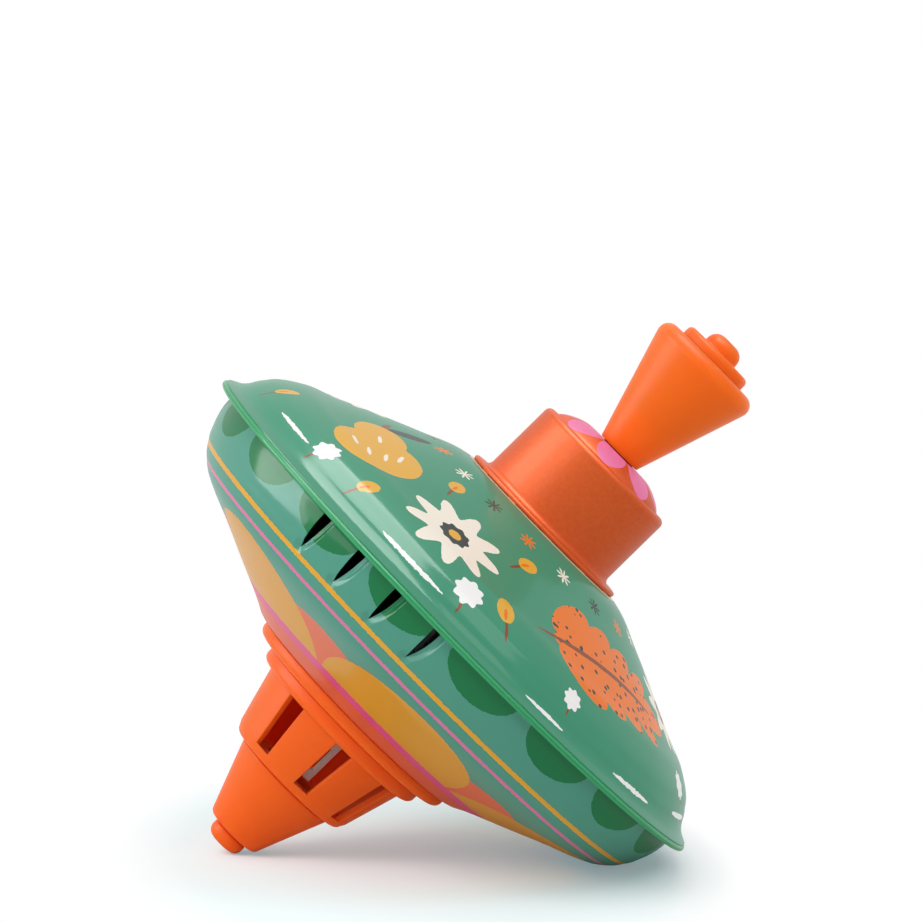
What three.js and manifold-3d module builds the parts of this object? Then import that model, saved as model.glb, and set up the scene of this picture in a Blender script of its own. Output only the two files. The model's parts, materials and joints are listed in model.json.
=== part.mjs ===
// A push-down humming top: a tin body with whistle slots, a moulded foot, and a handle
// whose twisted rod drives the body through a toothed nut.
//
// Units are millimetres. Every part is drawn on the spin axis, with the tip at Z = 0 and the
// handle above. The finished top is then laid on its side, the way it comes to rest on a table,
// resting on the foot and the belly, with +Z up and the handle towards +X.

import * as THREE from "three";
import { mergeVertices } from "three/addons/utils/BufferGeometryUtils.js";
import Module from "manifold-3d";

const wasm = await Module();
wasm.setup();

// Clearances and sheet thickness
const seatGap = 0.3; // between parts that are pressed or clamped together
const runningGap = 0.3; // around parts that slide or turn
const tinWall = 0.4; // tinplate of the two shells
const cutOverrun = 1; // how far a cutting tool runs past the surface it opens

// Facets of the round parts
const shellFacets = 48;
const bodyFacets = 32;
const smallFacets = 24;
const pinFacets = 12;
const arcSteps = 3;

// Foot, from the tip upwards
const tip = { radius: 5.8, height: 4.4, corner: 2.8, stemRadius: 3.4, stemLength: 8.6 };
const cone = {
  bottomRadius: 9.3,
  topRadius: 16.9,
  height: 22,
  corner: 2,
  topCorner: 0.6,
  floor: 12.4,
  wall: 2.4,
  spigotRadius: 13,
  spigotHeight: 2.4,
};
const housing = {
  bottomRadius: 20.3,
  topRadius: 26.4,
  corner: 2,
  wall: 2.1,
  floor: 2.6,
  windowedHeight: 20.2,
  ringRadius: 30.1,
  ringHeight: 4.4,
  ringCorner: 2,
  deck: 2.2,
  neckRadius: 11.7,
  neckHeight: 10.4,
};
const windowGroups = 2;
const windowsInGroup = 3;
const windowPitchDegrees = 45;
const windowDegrees = 14.6;
const firstWindowDegrees = -129.5; // the leftmost window that faces the viewer
const windows = { sill: 0.2, lintel: 0.4 };
const flange = { radius: 36.5, thickness: 3.7, corner: 2.2 };
const lockRing = { radius: 20, thickness: 4 };

// Tin shells
const rimRadius = 95;
const hemReach = 2.9; // how far the folded hem reaches in under the flange
const lowerShell = { baseRadius: 39.7, bellyRadius: 90.2, height: 39.05, rimFillet: 1.7 };
const lowerShellShares = [
  [0.65, 0.376],
  [0.743, 0.433],
  [0.818, 0.487],
  [0.883, 0.556],
  [0.931, 0.643],
  [0.974, 0.766],
  [0.996, 0.88],
];
const upperShell = {
  landing: 1.5, // flat ring left around the cap's flange
  height: 35.15,
  holeRadius: 9.6,
  topCorner: 1.2,
};
const upperShellShares = [
  [0.945, 0.052],
  [0.915, 0.115],
  [0.872, 0.236],
  [0.812, 0.345],
  [0.718, 0.448],
  [0.652, 0.496],
];
const slot = { width: 2.4, length: 11.6, belowRim: 0.8 };
const slotsInGroup = 4;
const slotGroups = 2;
const slotPitchDegrees = 9.7;
const firstSlotDegrees = -127.8; // the slot group that faces the viewer

// Cap over the clutch
const cap = {
  radius: 23.8,
  wall: 0.6,
  flangeRadius: 28.5,
  flangeThickness: 1.4,
  flangeFillet: 2,
  shoulderHeight: 26,
  shoulderCorner: 1.9,
  domeRadius: 20.4,
  domeTopRadius: 12.8,
  domeHeight: 4.3,
};
const domeBulgeShares = [0.46, 0.66];
const tab = { width: 3.2, thickness: 0.5, length: 2.4, inset: 0.2 };
const tabCount = 12;
const firstTabDegrees = -92;

// Core tube, clutch and drive nut
const coreTube = { radius: 7.3, wall: 0.7 };
const crown = {
  plateRadius: 22.4,
  plate: 2.2,
  radius: 15,
  height: 6.8,
  throatRadius: 6.3,
  spigotRadius: 9.3,
  spigotLength: 3,
  socketDepth: 1.5,
};
const tooth = { innerRadius: 9.8, height: 1.2 };
const toothCount = 12;
const toothDegrees = 13;
const toothArcSteps = 2;
const nut = { radius: 15, flange: 3.5, hubRadius: 8.5, height: 9.9, slotGap: 0.4 };
const thrustWasher = { radius: 8.5, thickness: 0.8 };

// Guide bush in the top of the cap
const bush = { wall: 1.8, flangeRadius: 5.7, flange: 0.5 };
const clip = { radius: 8.2, thickness: 1.4 };

// Twisted rod, its end slider and its pins
const strip = { width: 5.4, thickness: 1.2, lead: 30 };
const stripStepsPerTurn = 30;
const slider = { width: 9.6, depth: 5.6, height: 15.1, topBar: 3.7, bottomBar: 3.3, foot: 1.3 };
const sliderRivet = { radius: 0.8, length: 4.6, endDistance: 4.2 };
const handlePin = { radius: 0.9, length: 12, endDistance: 2.6 };

// Handle
const handle = {
  bottomRadius: 7.3,
  topRadius: 17.8,
  height: 37,
  bottomCorner: 0.5,
  topCorner: 3.5,
  straightHeight: 33.4,
  pocketRadius: 9.6,
  floor: 13.6,
};
const endCap = {
  plugLength: 10,
  stepRadius: 11.7,
  stepHeight: 3,
  stepCorner: 1.6,
  buttonRadius: 5.8,
  buttonHeight: 4.4,
  buttonCorner: 3.6,
};

// Heights of the seats along the spin axis
const coneBase = tip.height + seatGap;
const housingBase = coneBase + cone.height + seatGap;
const ringBase = housingBase + housing.windowedHeight;
const housingTop = ringBase + housing.ringHeight;
const flangeBase = housingTop + seatGap;
const shellBase = flangeBase + flange.thickness + seatGap;
const lowerFlangeZ = shellBase + lowerShell.height; // underside of the lower shell's flange
const hemThickness = 3 * tinWall + 2 * seatGap;
const hemBase = lowerFlangeZ - seatGap - tinWall;
const hemTop = hemBase + hemThickness;
const shellTop = hemTop + upperShell.height;
const capBase = shellTop + seatGap;
const shoulderZ = capBase + cap.shoulderHeight;
const domeTop = shoulderZ + cap.domeHeight;
const tubeBase = housingTop + seatGap;
const crownBase = shellTop + seatGap;
const crownTop = crownBase + crown.height;
const tubeTop = crownBase + crown.socketDepth;
const nutBase = crownTop + tooth.height + runningGap; // tips of the nut's teeth, lifted clear
const nutTop = nutBase + tooth.height + nut.height;
const washerBase = nutTop + runningGap;
const bushBase = washerBase + thrustWasher.thickness + runningGap;
const bushFlangeBase = domeTop + seatGap;
const handleBase = bushFlangeBase + bush.flange + seatGap;
const handleTop = handleBase + handle.height;
const clutchLift = tooth.height; // how far the nut drops into the crown's teeth
const sliderBase = housingBase + housing.floor + slider.foot;
const sliderTop = sliderBase + slider.height;

// Radii that follow from what passes through or lands there
const stripReach = Math.hypot(strip.width, strip.thickness) / 2;
const bushBore = stripReach + runningGap;
const bushRadius = bushBore + bush.wall;
const bushHoleRadius = bushRadius + runningGap;
const landingRadius = cap.flangeRadius + upperShell.landing;
const tabRadius = cap.flangeRadius - tab.inset - tab.thickness / 2;

// Shapes

const spinAxis = new THREE.Vector3(0, 0, 1);

// Points of a quarter turn or less about (r, z), from one angle to another in degrees
function arc(r, z, radius, fromDegrees, toDegrees, steps = arcSteps) {
  const points = [];
  for (let step = 0; step <= steps; step += 1) {
    const angle = THREE.MathUtils.degToRad(fromDegrees + ((toDegrees - fromDegrees) * step) / steps);
    points.push([r + radius * Math.cos(angle), z + radius * Math.sin(angle)]);
  }
  return points;
}

// Closed outline of a sheet: its outer face, and the same line set in by the wall
function sheetOutline(outerFace, wall) {
  const line = outerFace.map(([r, z]) => new THREE.Vector2(r, z));
  const sides = line.slice(1).map((point, index) => {
    const run = point.clone().sub(line[index]).normalize();
    return new THREE.Vector2(-run.y, run.x);
  });
  const innerFace = line.map((point, index) => {
    const before = sides[Math.max(index - 1, 0)];
    const after = sides[Math.min(index, sides.length - 1)];
    const mitre = before.clone().add(after).normalize();
    return point.clone().addScaledVector(mitre, wall / mitre.dot(before)).toArray();
  });
  return [...outerFace, ...innerFace.reverse()];
}

function signedArea(outline) {
  let area = 0;
  outline.forEach(([r, z], index) => {
    const [nextR, nextZ] = outline[(index + 1) % outline.length];
    area += r * nextZ - nextR * z;
  });
  return area;
}

// Keeps only positions, shares the vertices and drops triangles with no area
function closedMesh(geometry) {
  geometry.deleteAttribute("normal");
  geometry.deleteAttribute("uv");
  const merged = mergeVertices(geometry);
  const corners = merged.index.array;
  const kept = [];
  for (let i = 0; i < corners.length; i += 3) {
    const [a, b, c] = [corners[i], corners[i + 1], corners[i + 2]];
    if (a !== b && b !== c && c !== a) {
      kept.push(a, b, c);
    }
  }
  merged.setIndex(kept);
  return merged;
}

// Turns an outline of [radius, height] points about the spin axis. The facets' flats face
// along X and Y. An outline that starts on the axis ends there, and any other one is closed.
function turned(outline, facets) {
  const points = signedArea(outline) < 0 ? [...outline].reverse() : [...outline];
  if (points[0][0] > 0) {
    points.push(points[0]);
  }
  const profile = points.map(([r, z]) => new THREE.Vector2(r, z));
  const geometry = new THREE.LatheGeometry(profile, facets, Math.PI / facets);
  geometry.rotateX(Math.PI / 2);
  return closedMesh(geometry);
}

function box(width, depth, height, x, y, z) {
  const geometry = new THREE.BoxGeometry(width, depth, height);
  geometry.translate(x, y, z);
  return closedMesh(geometry);
}

// Prism on a polygon of [x, y] corners, from a base height upwards
function prism(corners, base, height, steps = 1) {
  const shape = new THREE.Shape(corners.map(([x, y]) => new THREE.Vector2(x, y)));
  const geometry = new THREE.ExtrudeGeometry(shape, { depth: height, steps, bevelEnabled: false });
  geometry.translate(0, 0, base);
  return closedMesh(geometry);
}

function rectangle(width, depth) {
  const x = width / 2;
  const y = depth / 2;
  return [
    [-x, -y],
    [x, -y],
    [x, y],
    [-x, y],
  ];
}

// Corners of a ring's sector, centred on the X axis
function sector(innerRadius, outerRadius, degrees, steps) {
  const outer = arc(0, 0, outerRadius, -degrees / 2, degrees / 2, steps);
  const inner = arc(0, 0, innerRadius, degrees / 2, -degrees / 2, steps);
  return [...outer, ...inner];
}

// Cylinder across the spin axis, along Y, at a height
function crossPin(radius, length, z) {
  const geometry = new THREE.CylinderGeometry(radius, radius, length, pinFacets);
  geometry.translate(0, 0, z);
  return closedMesh(geometry);
}

function spun(geometry, degrees) {
  return geometry.clone().rotateZ(THREE.MathUtils.degToRad(degrees));
}

function solid(geometry) {
  return new wasm.Manifold(
    new wasm.Mesh({
      numProp: 3,
      vertProperties: new Float32Array(geometry.attributes.position.array),
      triVerts: new Uint32Array(geometry.index.array),
    }),
  );
}

function surface(manifold) {
  const mesh = manifold.getMesh();
  const geometry = new THREE.BufferGeometry();
  geometry.setAttribute("position", new THREE.BufferAttribute(mesh.vertProperties, 3));
  geometry.setIndex(new THREE.BufferAttribute(mesh.triVerts, 1));
  return geometry;
}

function cutAway(geometry, tools) {
  return surface(tools.reduce((left, tool) => left.subtract(solid(tool)), solid(geometry)));
}

function joined(geometry, additions) {
  return surface(additions.reduce((whole, addition) => whole.add(solid(addition)), solid(geometry)));
}

// Copies of one shape, spread evenly round the axis
function ringOf(geometry, count, firstDegrees) {
  return Array.from({ length: count }, (_, index) => spun(geometry, firstDegrees + (360 * index) / count));
}

// Foot

function footTipOutline() {
  return [
    [0, 0],
    ...arc(tip.radius - tip.corner, tip.corner, tip.corner, -90, 0),
    [tip.radius, tip.height],
    [tip.stemRadius, tip.height],
    [tip.stemRadius, coneBase + tip.stemLength],
    [0, coneBase + tip.stemLength],
  ];
}

function footConeOutline() {
  const top = coneBase + cone.height;
  const socketRadius = tip.stemRadius + seatGap;
  const socketTop = coneBase + tip.stemLength + seatGap;
  const floorZ = coneBase + cone.floor;
  const slope = (cone.topRadius - cone.bottomRadius) / cone.height;
  const innerRadius = cone.bottomRadius + slope * cone.floor - cone.wall;
  return [
    [0, socketTop],
    [socketRadius, socketTop],
    [socketRadius, coneBase],
    ...arc(cone.bottomRadius - cone.corner, coneBase + cone.corner, cone.corner, -90, 0),
    [cone.topRadius, top - cone.topCorner],
    [cone.topRadius - cone.topCorner, top],
    [cone.spigotRadius, top],
    [cone.spigotRadius, top + seatGap + cone.spigotHeight],
    [cone.spigotRadius - cone.wall, top + seatGap + cone.spigotHeight],
    [innerRadius, floorZ],
    [0, floorZ],
  ];
}

function footHousing() {
  const floorTop = housingBase + housing.floor;
  const spigotHole = cone.spigotRadius + seatGap;
  const tubeSocket = coreTube.radius + seatGap;
  const deckBase = housingTop - housing.deck;
  const corner = housing.corner;
  const ringCorner = housing.ringCorner;
  const outline = [
    [spigotHole, housingBase],
    ...arc(housing.bottomRadius - corner, housingBase + corner, corner, -90, 0),
    [housing.topRadius, ringBase],
    ...arc(housing.ringRadius - ringCorner, ringBase + ringCorner, ringCorner, -90, 0),
    [housing.ringRadius, housingTop],
    [housing.neckRadius, housingTop],
    [housing.neckRadius, housingTop + housing.neckHeight],
    [tubeSocket, housingTop + housing.neckHeight],
    [tubeSocket, housingTop],
    [crown.throatRadius, housingTop],
    [crown.throatRadius, deckBase],
    [housing.topRadius - housing.wall, deckBase],
    [housing.bottomRadius - housing.wall, floorTop],
    [spigotHole, floorTop],
  ];
  const windowBase = floorTop + windows.sill;
  const windowHeight = ringBase - windows.lintel - windowBase;
  const cut = sector(cone.spigotRadius + cutOverrun, housing.topRadius + cutOverrun, windowDegrees, 1);
  const opening = prism(cut, windowBase, windowHeight);
  const openings = [];
  for (let index = 0; index < windowsInGroup; index += 1) {
    openings.push(...ringOf(opening, windowGroups, firstWindowDegrees + windowPitchDegrees * index));
  }
  return cutAway(turned(outline, bodyFacets), openings);
}

function footFlangeOutline() {
  const hole = housing.neckRadius + seatGap;
  return [
    [hole, flangeBase],
    ...arc(flange.radius - flange.corner, flangeBase + flange.corner, flange.corner, -90, 0),
    [flange.radius, flangeBase + flange.thickness],
    [hole, flangeBase + flange.thickness],
  ];
}

function lockRingOutline() {
  const base = shellBase + tinWall + seatGap;
  const hole = housing.neckRadius + seatGap;
  return [
    [hole, base],
    [lockRing.radius, base],
    [lockRing.radius, base + lockRing.thickness],
    [hole, base + lockRing.thickness],
  ];
}

// Tin shells

// Outer face of the lower shell, from the hole round the foot's neck to the rim flange
function lowerShellFace() {
  const span = lowerShell.bellyRadius - lowerShell.baseRadius;
  const cornerZ = lowerFlangeZ - lowerShell.rimFillet;
  return [
    [housing.neckRadius + seatGap, shellBase],
    [lowerShell.baseRadius, shellBase],
    ...lowerShellShares.map(([reach, rise]) => [
      lowerShell.baseRadius + reach * span,
      shellBase + rise * lowerShell.height,
    ]),
    ...arc(lowerShell.bellyRadius + lowerShell.rimFillet, cornerZ, lowerShell.rimFillet, 150, 90, 2),
    [rimRadius - hemThickness / 2, lowerFlangeZ],
  ];
}

// One whistle slot: a slit through the sheet, wide under the rim and pointed below
function slotCutter() {
  const top = lowerFlangeZ - slot.belowRim;
  const outline = [
    [0, top - slot.length],
    [slot.width, top],
    [0, top],
  ];
  const reach = 2 * cutOverrun + lowerShell.bellyRadius * (1 - lowerShellShares[1][0]);
  const geometry = prism(outline, 0, reach);
  geometry.rotateX(Math.PI / 2);
  geometry.rotateZ(Math.PI / 2);
  geometry.translate(lowerShell.bellyRadius + cutOverrun - reach, 0, 0);
  return geometry;
}

function lowerShellSheet() {
  const sheet = turned(sheetOutline(lowerShellFace(), tinWall), shellFacets);
  const cutters = [];
  for (let group = 0; group < slotGroups; group += 1) {
    for (let index = 0; index < slotsInGroup; index += 1) {
      const degrees = firstSlotDegrees + (360 * group) / slotGroups + slotPitchDegrees * index;
      cutters.push(spun(slotCutter(), degrees));
    }
  }
  return cutAway(sheet, cutters);
}

// Outer face of the upper shell, from the folded hem over the shoulder to the clutch hole
function upperShellFace() {
  const fold = hemThickness / 2;
  const foldRadius = rimRadius - fold;
  const span = rimRadius - landingRadius;
  return [
    [rimRadius - fold - hemReach, hemBase],
    ...arc(foldRadius, hemBase + fold, fold, -90, 90, 4),
    ...upperShellShares.map(([reach, rise]) => [
      landingRadius + reach * span,
      hemTop + rise * upperShell.height,
    ]),
    [landingRadius + upperShell.topCorner, shellTop - upperShell.topCorner / 2],
    [landingRadius, shellTop],
    [upperShell.holeRadius, shellTop],
  ];
}

function upperShellSheet() {
  const sheet = turned(sheetOutline(upperShellFace(), tinWall), shellFacets);
  const slitThickness = tab.thickness + 2 * seatGap;
  const slitWidth = tab.width + 2 * seatGap;
  const slitHeight = tinWall + 2 * cutOverrun;
  const slit = box(slitThickness, slitWidth, slitHeight, tabRadius, 0, shellTop - tinWall / 2);
  return cutAway(sheet, ringOf(slit, tabCount, firstTabDegrees));
}

// Cap over the clutch

function crownCap() {
  const inner = cap.radius - cap.wall;
  const flangeTop = capBase + cap.flangeThickness;
  const shoulder = cap.shoulderCorner;
  const domeRun = cap.domeRadius - cap.domeTopRadius;
  const bulgeRadius = cap.domeTopRadius + domeBulgeShares[0] * domeRun;
  const bulgeZ = shoulderZ + domeBulgeShares[1] * cap.domeHeight;
  const face = [
    ...arc(cap.radius + cap.flangeFillet, flangeTop + cap.flangeFillet, cap.flangeFillet, 270, 180),
    ...arc(cap.radius - shoulder, shoulderZ - shoulder, shoulder, 0, 90),
    [cap.domeRadius, shoulderZ],
    [bulgeRadius, bulgeZ],
    [cap.domeTopRadius, domeTop],
    [bushHoleRadius, domeTop],
  ];
  const inside = [
    [bushHoleRadius, domeTop - cap.wall],
    [cap.domeTopRadius - cap.wall / 2, domeTop - cap.wall],
    [bulgeRadius - cap.wall / 2, bulgeZ - cap.wall],
    [cap.domeRadius - cap.wall / 2, shoulderZ - cap.wall],
    [cap.radius - shoulder, shoulderZ - cap.wall],
    [inner, shoulderZ - shoulder],
    [inner, capBase],
  ];
  const flangeEdge = [
    [cap.flangeRadius, capBase],
    [cap.flangeRadius, flangeTop],
  ];
  const shell = turned([...flangeEdge, ...face, ...inside], bodyFacets);
  const root = cap.flangeThickness / 2;
  const hookZ = capBase + (root - tab.length) / 2;
  const hook = box(tab.thickness, tab.width, tab.length + root, tabRadius, 0, hookZ);
  return joined(shell, ringOf(hook, tabCount, firstTabDegrees));
}

// Clutch and drive

function coreTubeOutline() {
  return [
    [coreTube.radius - coreTube.wall, tubeBase],
    [coreTube.radius, tubeBase],
    [coreTube.radius, tubeTop],
    [coreTube.radius - coreTube.wall, tubeTop],
  ];
}

// Ring of clutch teeth, from one height to another
function teeth(base, top, firstDegrees) {
  const outline = sector(tooth.innerRadius, crown.radius, toothDegrees, toothArcSteps);
  return ringOf(prism(outline, base, top - base), toothCount, firstDegrees);
}

function clutchCrown() {
  const plateTop = crownBase + crown.plate;
  const tubeSocket = coreTube.radius + seatGap;
  const outline = [
    [tubeSocket, crownBase - crown.spigotLength],
    [crown.spigotRadius, crownBase - crown.spigotLength],
    [crown.spigotRadius, crownBase],
    [crown.plateRadius, crownBase],
    [crown.plateRadius, plateTop],
    [crown.radius, plateTop],
    [crown.radius, crownTop],
    [crown.throatRadius, crownTop],
    [crown.throatRadius, tubeTop + seatGap],
    [tubeSocket, tubeTop + seatGap],
  ];
  return joined(turned(outline, bodyFacets), teeth(crownTop - tooth.height / 2, crownTop + tooth.height, 0));
}

// Strip of the rod with its twist, grown by a clearance all round. It is straight in the slider
// and in the handle, and layers of corners follow the twist between them.
function twistedStrip(clearance, base, top) {
  const twistBase = Math.max(base, sliderTop);
  const twistTop = Math.min(top, handleBase);
  const steps = Math.ceil(((twistTop - twistBase) / strip.lead) * stripStepsPerTurn);
  const rise = (twistTop - twistBase) / steps;
  const levels = Array.from({ length: steps + 1 }, (_, index) => twistBase + rise * index);
  if (base < twistBase) {
    levels.unshift(base);
  }
  if (top > twistTop) {
    levels.push(top);
  }
  const section = rectangle(strip.width + 2 * clearance, strip.thickness + 2 * clearance);
  const geometry = prism(section, 0, levels.length - 1, levels.length - 1);
  const position = geometry.attributes.position;
  const corner = new THREE.Vector3();
  for (let i = 0; i < position.count; i += 1) {
    corner.fromBufferAttribute(position, i);
    corner.z = levels[Math.round(corner.z)];
    const turn = (THREE.MathUtils.clamp(corner.z, sliderTop, handleBase) - sliderTop) / strip.lead;
    corner.applyAxisAngle(spinAxis, 2 * Math.PI * turn);
    position.setXYZ(i, corner.x, corner.y, corner.z);
  }
  return geometry;
}

function driveNut() {
  const faceZ = nutBase + tooth.height;
  const outline = [
    [0, faceZ],
    [nut.radius, faceZ],
    [nut.radius, faceZ + nut.flange],
    [nut.hubRadius, faceZ + nut.flange],
    [nut.hubRadius, nutTop],
    [0, nutTop],
  ];
  const toothTop = faceZ + tooth.height / 2;
  const gear = joined(turned(outline, bodyFacets), teeth(nutBase, toothTop, 180 / toothCount));
  const opening = twistedStrip(nut.slotGap, nutBase - cutOverrun, nutTop + cutOverrun);
  const settleDegrees = (-360 * clutchLift) / strip.lead;
  return cutAway(gear, [opening, spun(opening, settleDegrees)]);
}

function thrustWasherOutline() {
  return [
    [bushBore, washerBase],
    [thrustWasher.radius, washerBase],
    [thrustWasher.radius, washerBase + thrustWasher.thickness],
    [bushBore, washerBase + thrustWasher.thickness],
  ];
}

function guideBushOutline() {
  return [
    [bushBore, bushBase],
    [bushRadius, bushBase],
    [bushRadius, bushFlangeBase],
    [bush.flangeRadius, bushFlangeBase],
    [bush.flangeRadius, bushFlangeBase + bush.flange],
    [bushBore, bushFlangeBase + bush.flange],
  ];
}

function bushClipOutline() {
  const top = domeTop - cap.wall - runningGap;
  const hole = bushRadius + seatGap;
  return [
    [hole, top - clip.thickness],
    [clip.radius, top - clip.thickness],
    [clip.radius, top],
    [hole, top],
  ];
}

// Rod, slider and handle

const rivetZ = sliderTop - slider.topBar - seatGap - sliderRivet.radius;
const handleFloorZ = handleBase + handle.floor;
const handlePinZ = handleFloorZ + seatGap + handlePin.radius;
const rodBase = rivetZ - sliderRivet.endDistance;
const rodTop = handlePinZ + handlePin.endDistance;
const twistDegrees = (360 * (handleBase - sliderTop)) / strip.lead;

function twistRod() {
  const rod = twistedStrip(0, rodBase, rodTop);
  const across = strip.thickness + 2 * cutOverrun;
  const rivetHole = crossPin(sliderRivet.radius + seatGap / 2, across, rivetZ);
  const pinHole = crossPin(handlePin.radius + seatGap / 2, across, handlePinZ);
  return cutAway(rod, [rivetHole, spun(pinHole, twistDegrees)]);
}

// Slit that the rod's straight end sits in, cut past two faces
function rodSlit(from, to) {
  const width = strip.width + 2 * seatGap;
  const thickness = strip.thickness + 2 * seatGap;
  return box(width, thickness, to - from + 2 * cutOverrun, 0, 0, (from + to) / 2);
}

function rodEndSlider() {
  const middle = sliderBase + slider.height / 2;
  const block = box(slider.width, slider.depth, slider.height, 0, 0, middle);
  const windowBase = sliderBase + slider.bottomBar;
  const windowHeight = slider.height - slider.bottomBar - slider.topBar;
  const across = slider.depth + 2 * cutOverrun;
  const opening = box(strip.width + 2 * seatGap, across, windowHeight, 0, 0, windowBase + windowHeight / 2);
  return cutAway(block, [opening, rodSlit(sliderTop - slider.topBar, sliderTop)]);
}

function handleCrossPin() {
  return spun(crossPin(handlePin.radius, handlePin.length, handlePinZ), twistDegrees);
}

function handleGrip() {
  const lower = handle.bottomCorner;
  const upper = handle.topCorner;
  const outline = [
    [0, handleBase],
    ...arc(handle.bottomRadius - lower, handleBase + lower, lower, -90, 0, 1),
    [handle.topRadius, handleBase + handle.straightHeight],
    ...arc(handle.topRadius - upper, handleTop - upper, upper, 0, 90),
    [handle.pocketRadius, handleTop],
    [handle.pocketRadius, handleFloorZ],
    [0, handleFloorZ],
  ];
  const slit = spun(rodSlit(handleBase, handleFloorZ), twistDegrees);
  return cutAway(turned(outline, smallFacets), [slit]);
}

function handleEndCapOutline() {
  const plugRadius = handle.pocketRadius - seatGap;
  const seat = handleTop + seatGap;
  const stepTop = seat + endCap.stepHeight;
  const buttonTop = stepTop + endCap.buttonHeight;
  const stepCorner = endCap.stepCorner;
  const buttonCorner = endCap.buttonCorner;
  return [
    [0, handleTop - endCap.plugLength],
    [plugRadius, handleTop - endCap.plugLength],
    [plugRadius, seat],
    [endCap.stepRadius, seat],
    ...arc(endCap.stepRadius - stepCorner, stepTop - stepCorner, stepCorner, 0, 90),
    [endCap.buttonRadius, stepTop],
    ...arc(endCap.buttonRadius - buttonCorner, buttonTop - buttonCorner, buttonCorner, 0, 90),
    [0, buttonTop],
  ];
}

// Materials, by what each part is made of

function finish(color, roughness, metalness) {
  return new THREE.MeshStandardMaterial({ color, roughness, metalness });
}

const mouldedOrange = () => finish("#ff6a2e", 0.38, 0);
const printedGreen = () => finish("#4fa07e", 0.25, 0.1);
const printedTeal = () => finish("#579685", 0.28, 0.1);
const lacqueredOrange = () => finish("#d65a2b", 0.32, 0.7);
const naturalNylon = () => finish("#ecd9cb", 0.5, 0);
const whiteNylon = () => finish("#f2efe8", 0.5, 0);
const platedSteel = () => finish("#b9bcc0", 0.3, 1);

// The top standing on its tip, one mesh for each part
const standing = new THREE.Group();

function addPart(name, geometry, material) {
  const mesh = new THREE.Mesh(geometry, material);
  mesh.name = name;
  standing.add(mesh);
}

addPart("foot_tip", turned(footTipOutline(), smallFacets), mouldedOrange());
addPart("foot_cone", turned(footConeOutline(), bodyFacets), mouldedOrange());
addPart("foot_housing", footHousing(), mouldedOrange());
addPart("foot_flange", turned(footFlangeOutline(), bodyFacets), mouldedOrange());
addPart("foot_lock_ring", turned(lockRingOutline(), bodyFacets), whiteNylon());
addPart("lower_shell", lowerShellSheet(), printedTeal());
addPart("upper_shell", upperShellSheet(), printedGreen());
addPart("crown_cap", crownCap(), lacqueredOrange());
addPart("core_tube", turned(coreTubeOutline(), smallFacets), platedSteel());
addPart("clutch_crown", clutchCrown(), whiteNylon());
addPart("drive_nut", driveNut(), naturalNylon());
addPart("thrust_washer", turned(thrustWasherOutline(), smallFacets), platedSteel());
addPart("guide_bush", turned(guideBushOutline(), smallFacets), naturalNylon());
addPart("bush_clip", turned(bushClipOutline(), smallFacets), platedSteel());
addPart("twist_rod", twistRod(), platedSteel());
addPart("rod_end_slider", rodEndSlider(), naturalNylon());
addPart("slider_rivet", crossPin(sliderRivet.radius, sliderRivet.length, rivetZ), platedSteel());
addPart("handle_pin", handleCrossPin(), platedSteel());
addPart("handle_grip", handleGrip(), mouldedOrange());
addPart("handle_end_cap", turned(handleEndCapOutline(), smallFacets), mouldedOrange());

// Laid on its side

// Angle of the line that touches both the foot and the belly from outside, over the spin
// axis's normal. The two outlines are taken at the middle of their facets, where they rest.
function restingAngle() {
  const foot = [
    ...footTipOutline().map(([r, z]) => new THREE.Vector2(r * Math.cos(Math.PI / smallFacets), z)),
    ...footConeOutline().map(([r, z]) => new THREE.Vector2(r * Math.cos(Math.PI / bodyFacets), z)),
  ];
  const shrink = Math.cos(Math.PI / shellFacets);
  const belly = lowerShellFace().map(([r, z]) => new THREE.Vector2(r * shrink, z));
  let angle = 0;
  for (const from of foot) {
    for (const to of belly) {
      const slope = Math.atan2(to.y - from.y, to.x - from.x);
      const outward = new THREE.Vector2(Math.sin(slope), -Math.cos(slope));
      const beyond = [...foot, ...belly].filter(
        (point) => point !== from && point !== to && outward.dot(point.clone().sub(from)) > 0,
      );
      if (beyond.length === 0 && to.x > from.x) {
        angle = slope;
      }
    }
  }
  return angle;
}

const lying = new THREE.Group();
standing.rotation.y = restingAngle();
lying.add(standing);
lying.updateMatrixWorld(true);

const reach = new THREE.Box3().setFromObject(lying, true);
const middle = reach.getCenter(new THREE.Vector3());
standing.position.set(-middle.x, -middle.y, -reach.min.z);

export default lying;
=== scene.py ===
# The looks of a push-down humming top lying on its side: a printed tin body with whistle slots,
# a moulded foot with windows, a lacquered cap, and a handle on a twisted rod.
#
# Each piece is drawn upright on the spin axis, in millimetres with the tip at height 0, and is
# then laid down where the frame has it. Azimuths are degrees about the spin axis.

import json
import math

import bmesh
import bpy
from mathutils import Matrix, Vector


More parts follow.
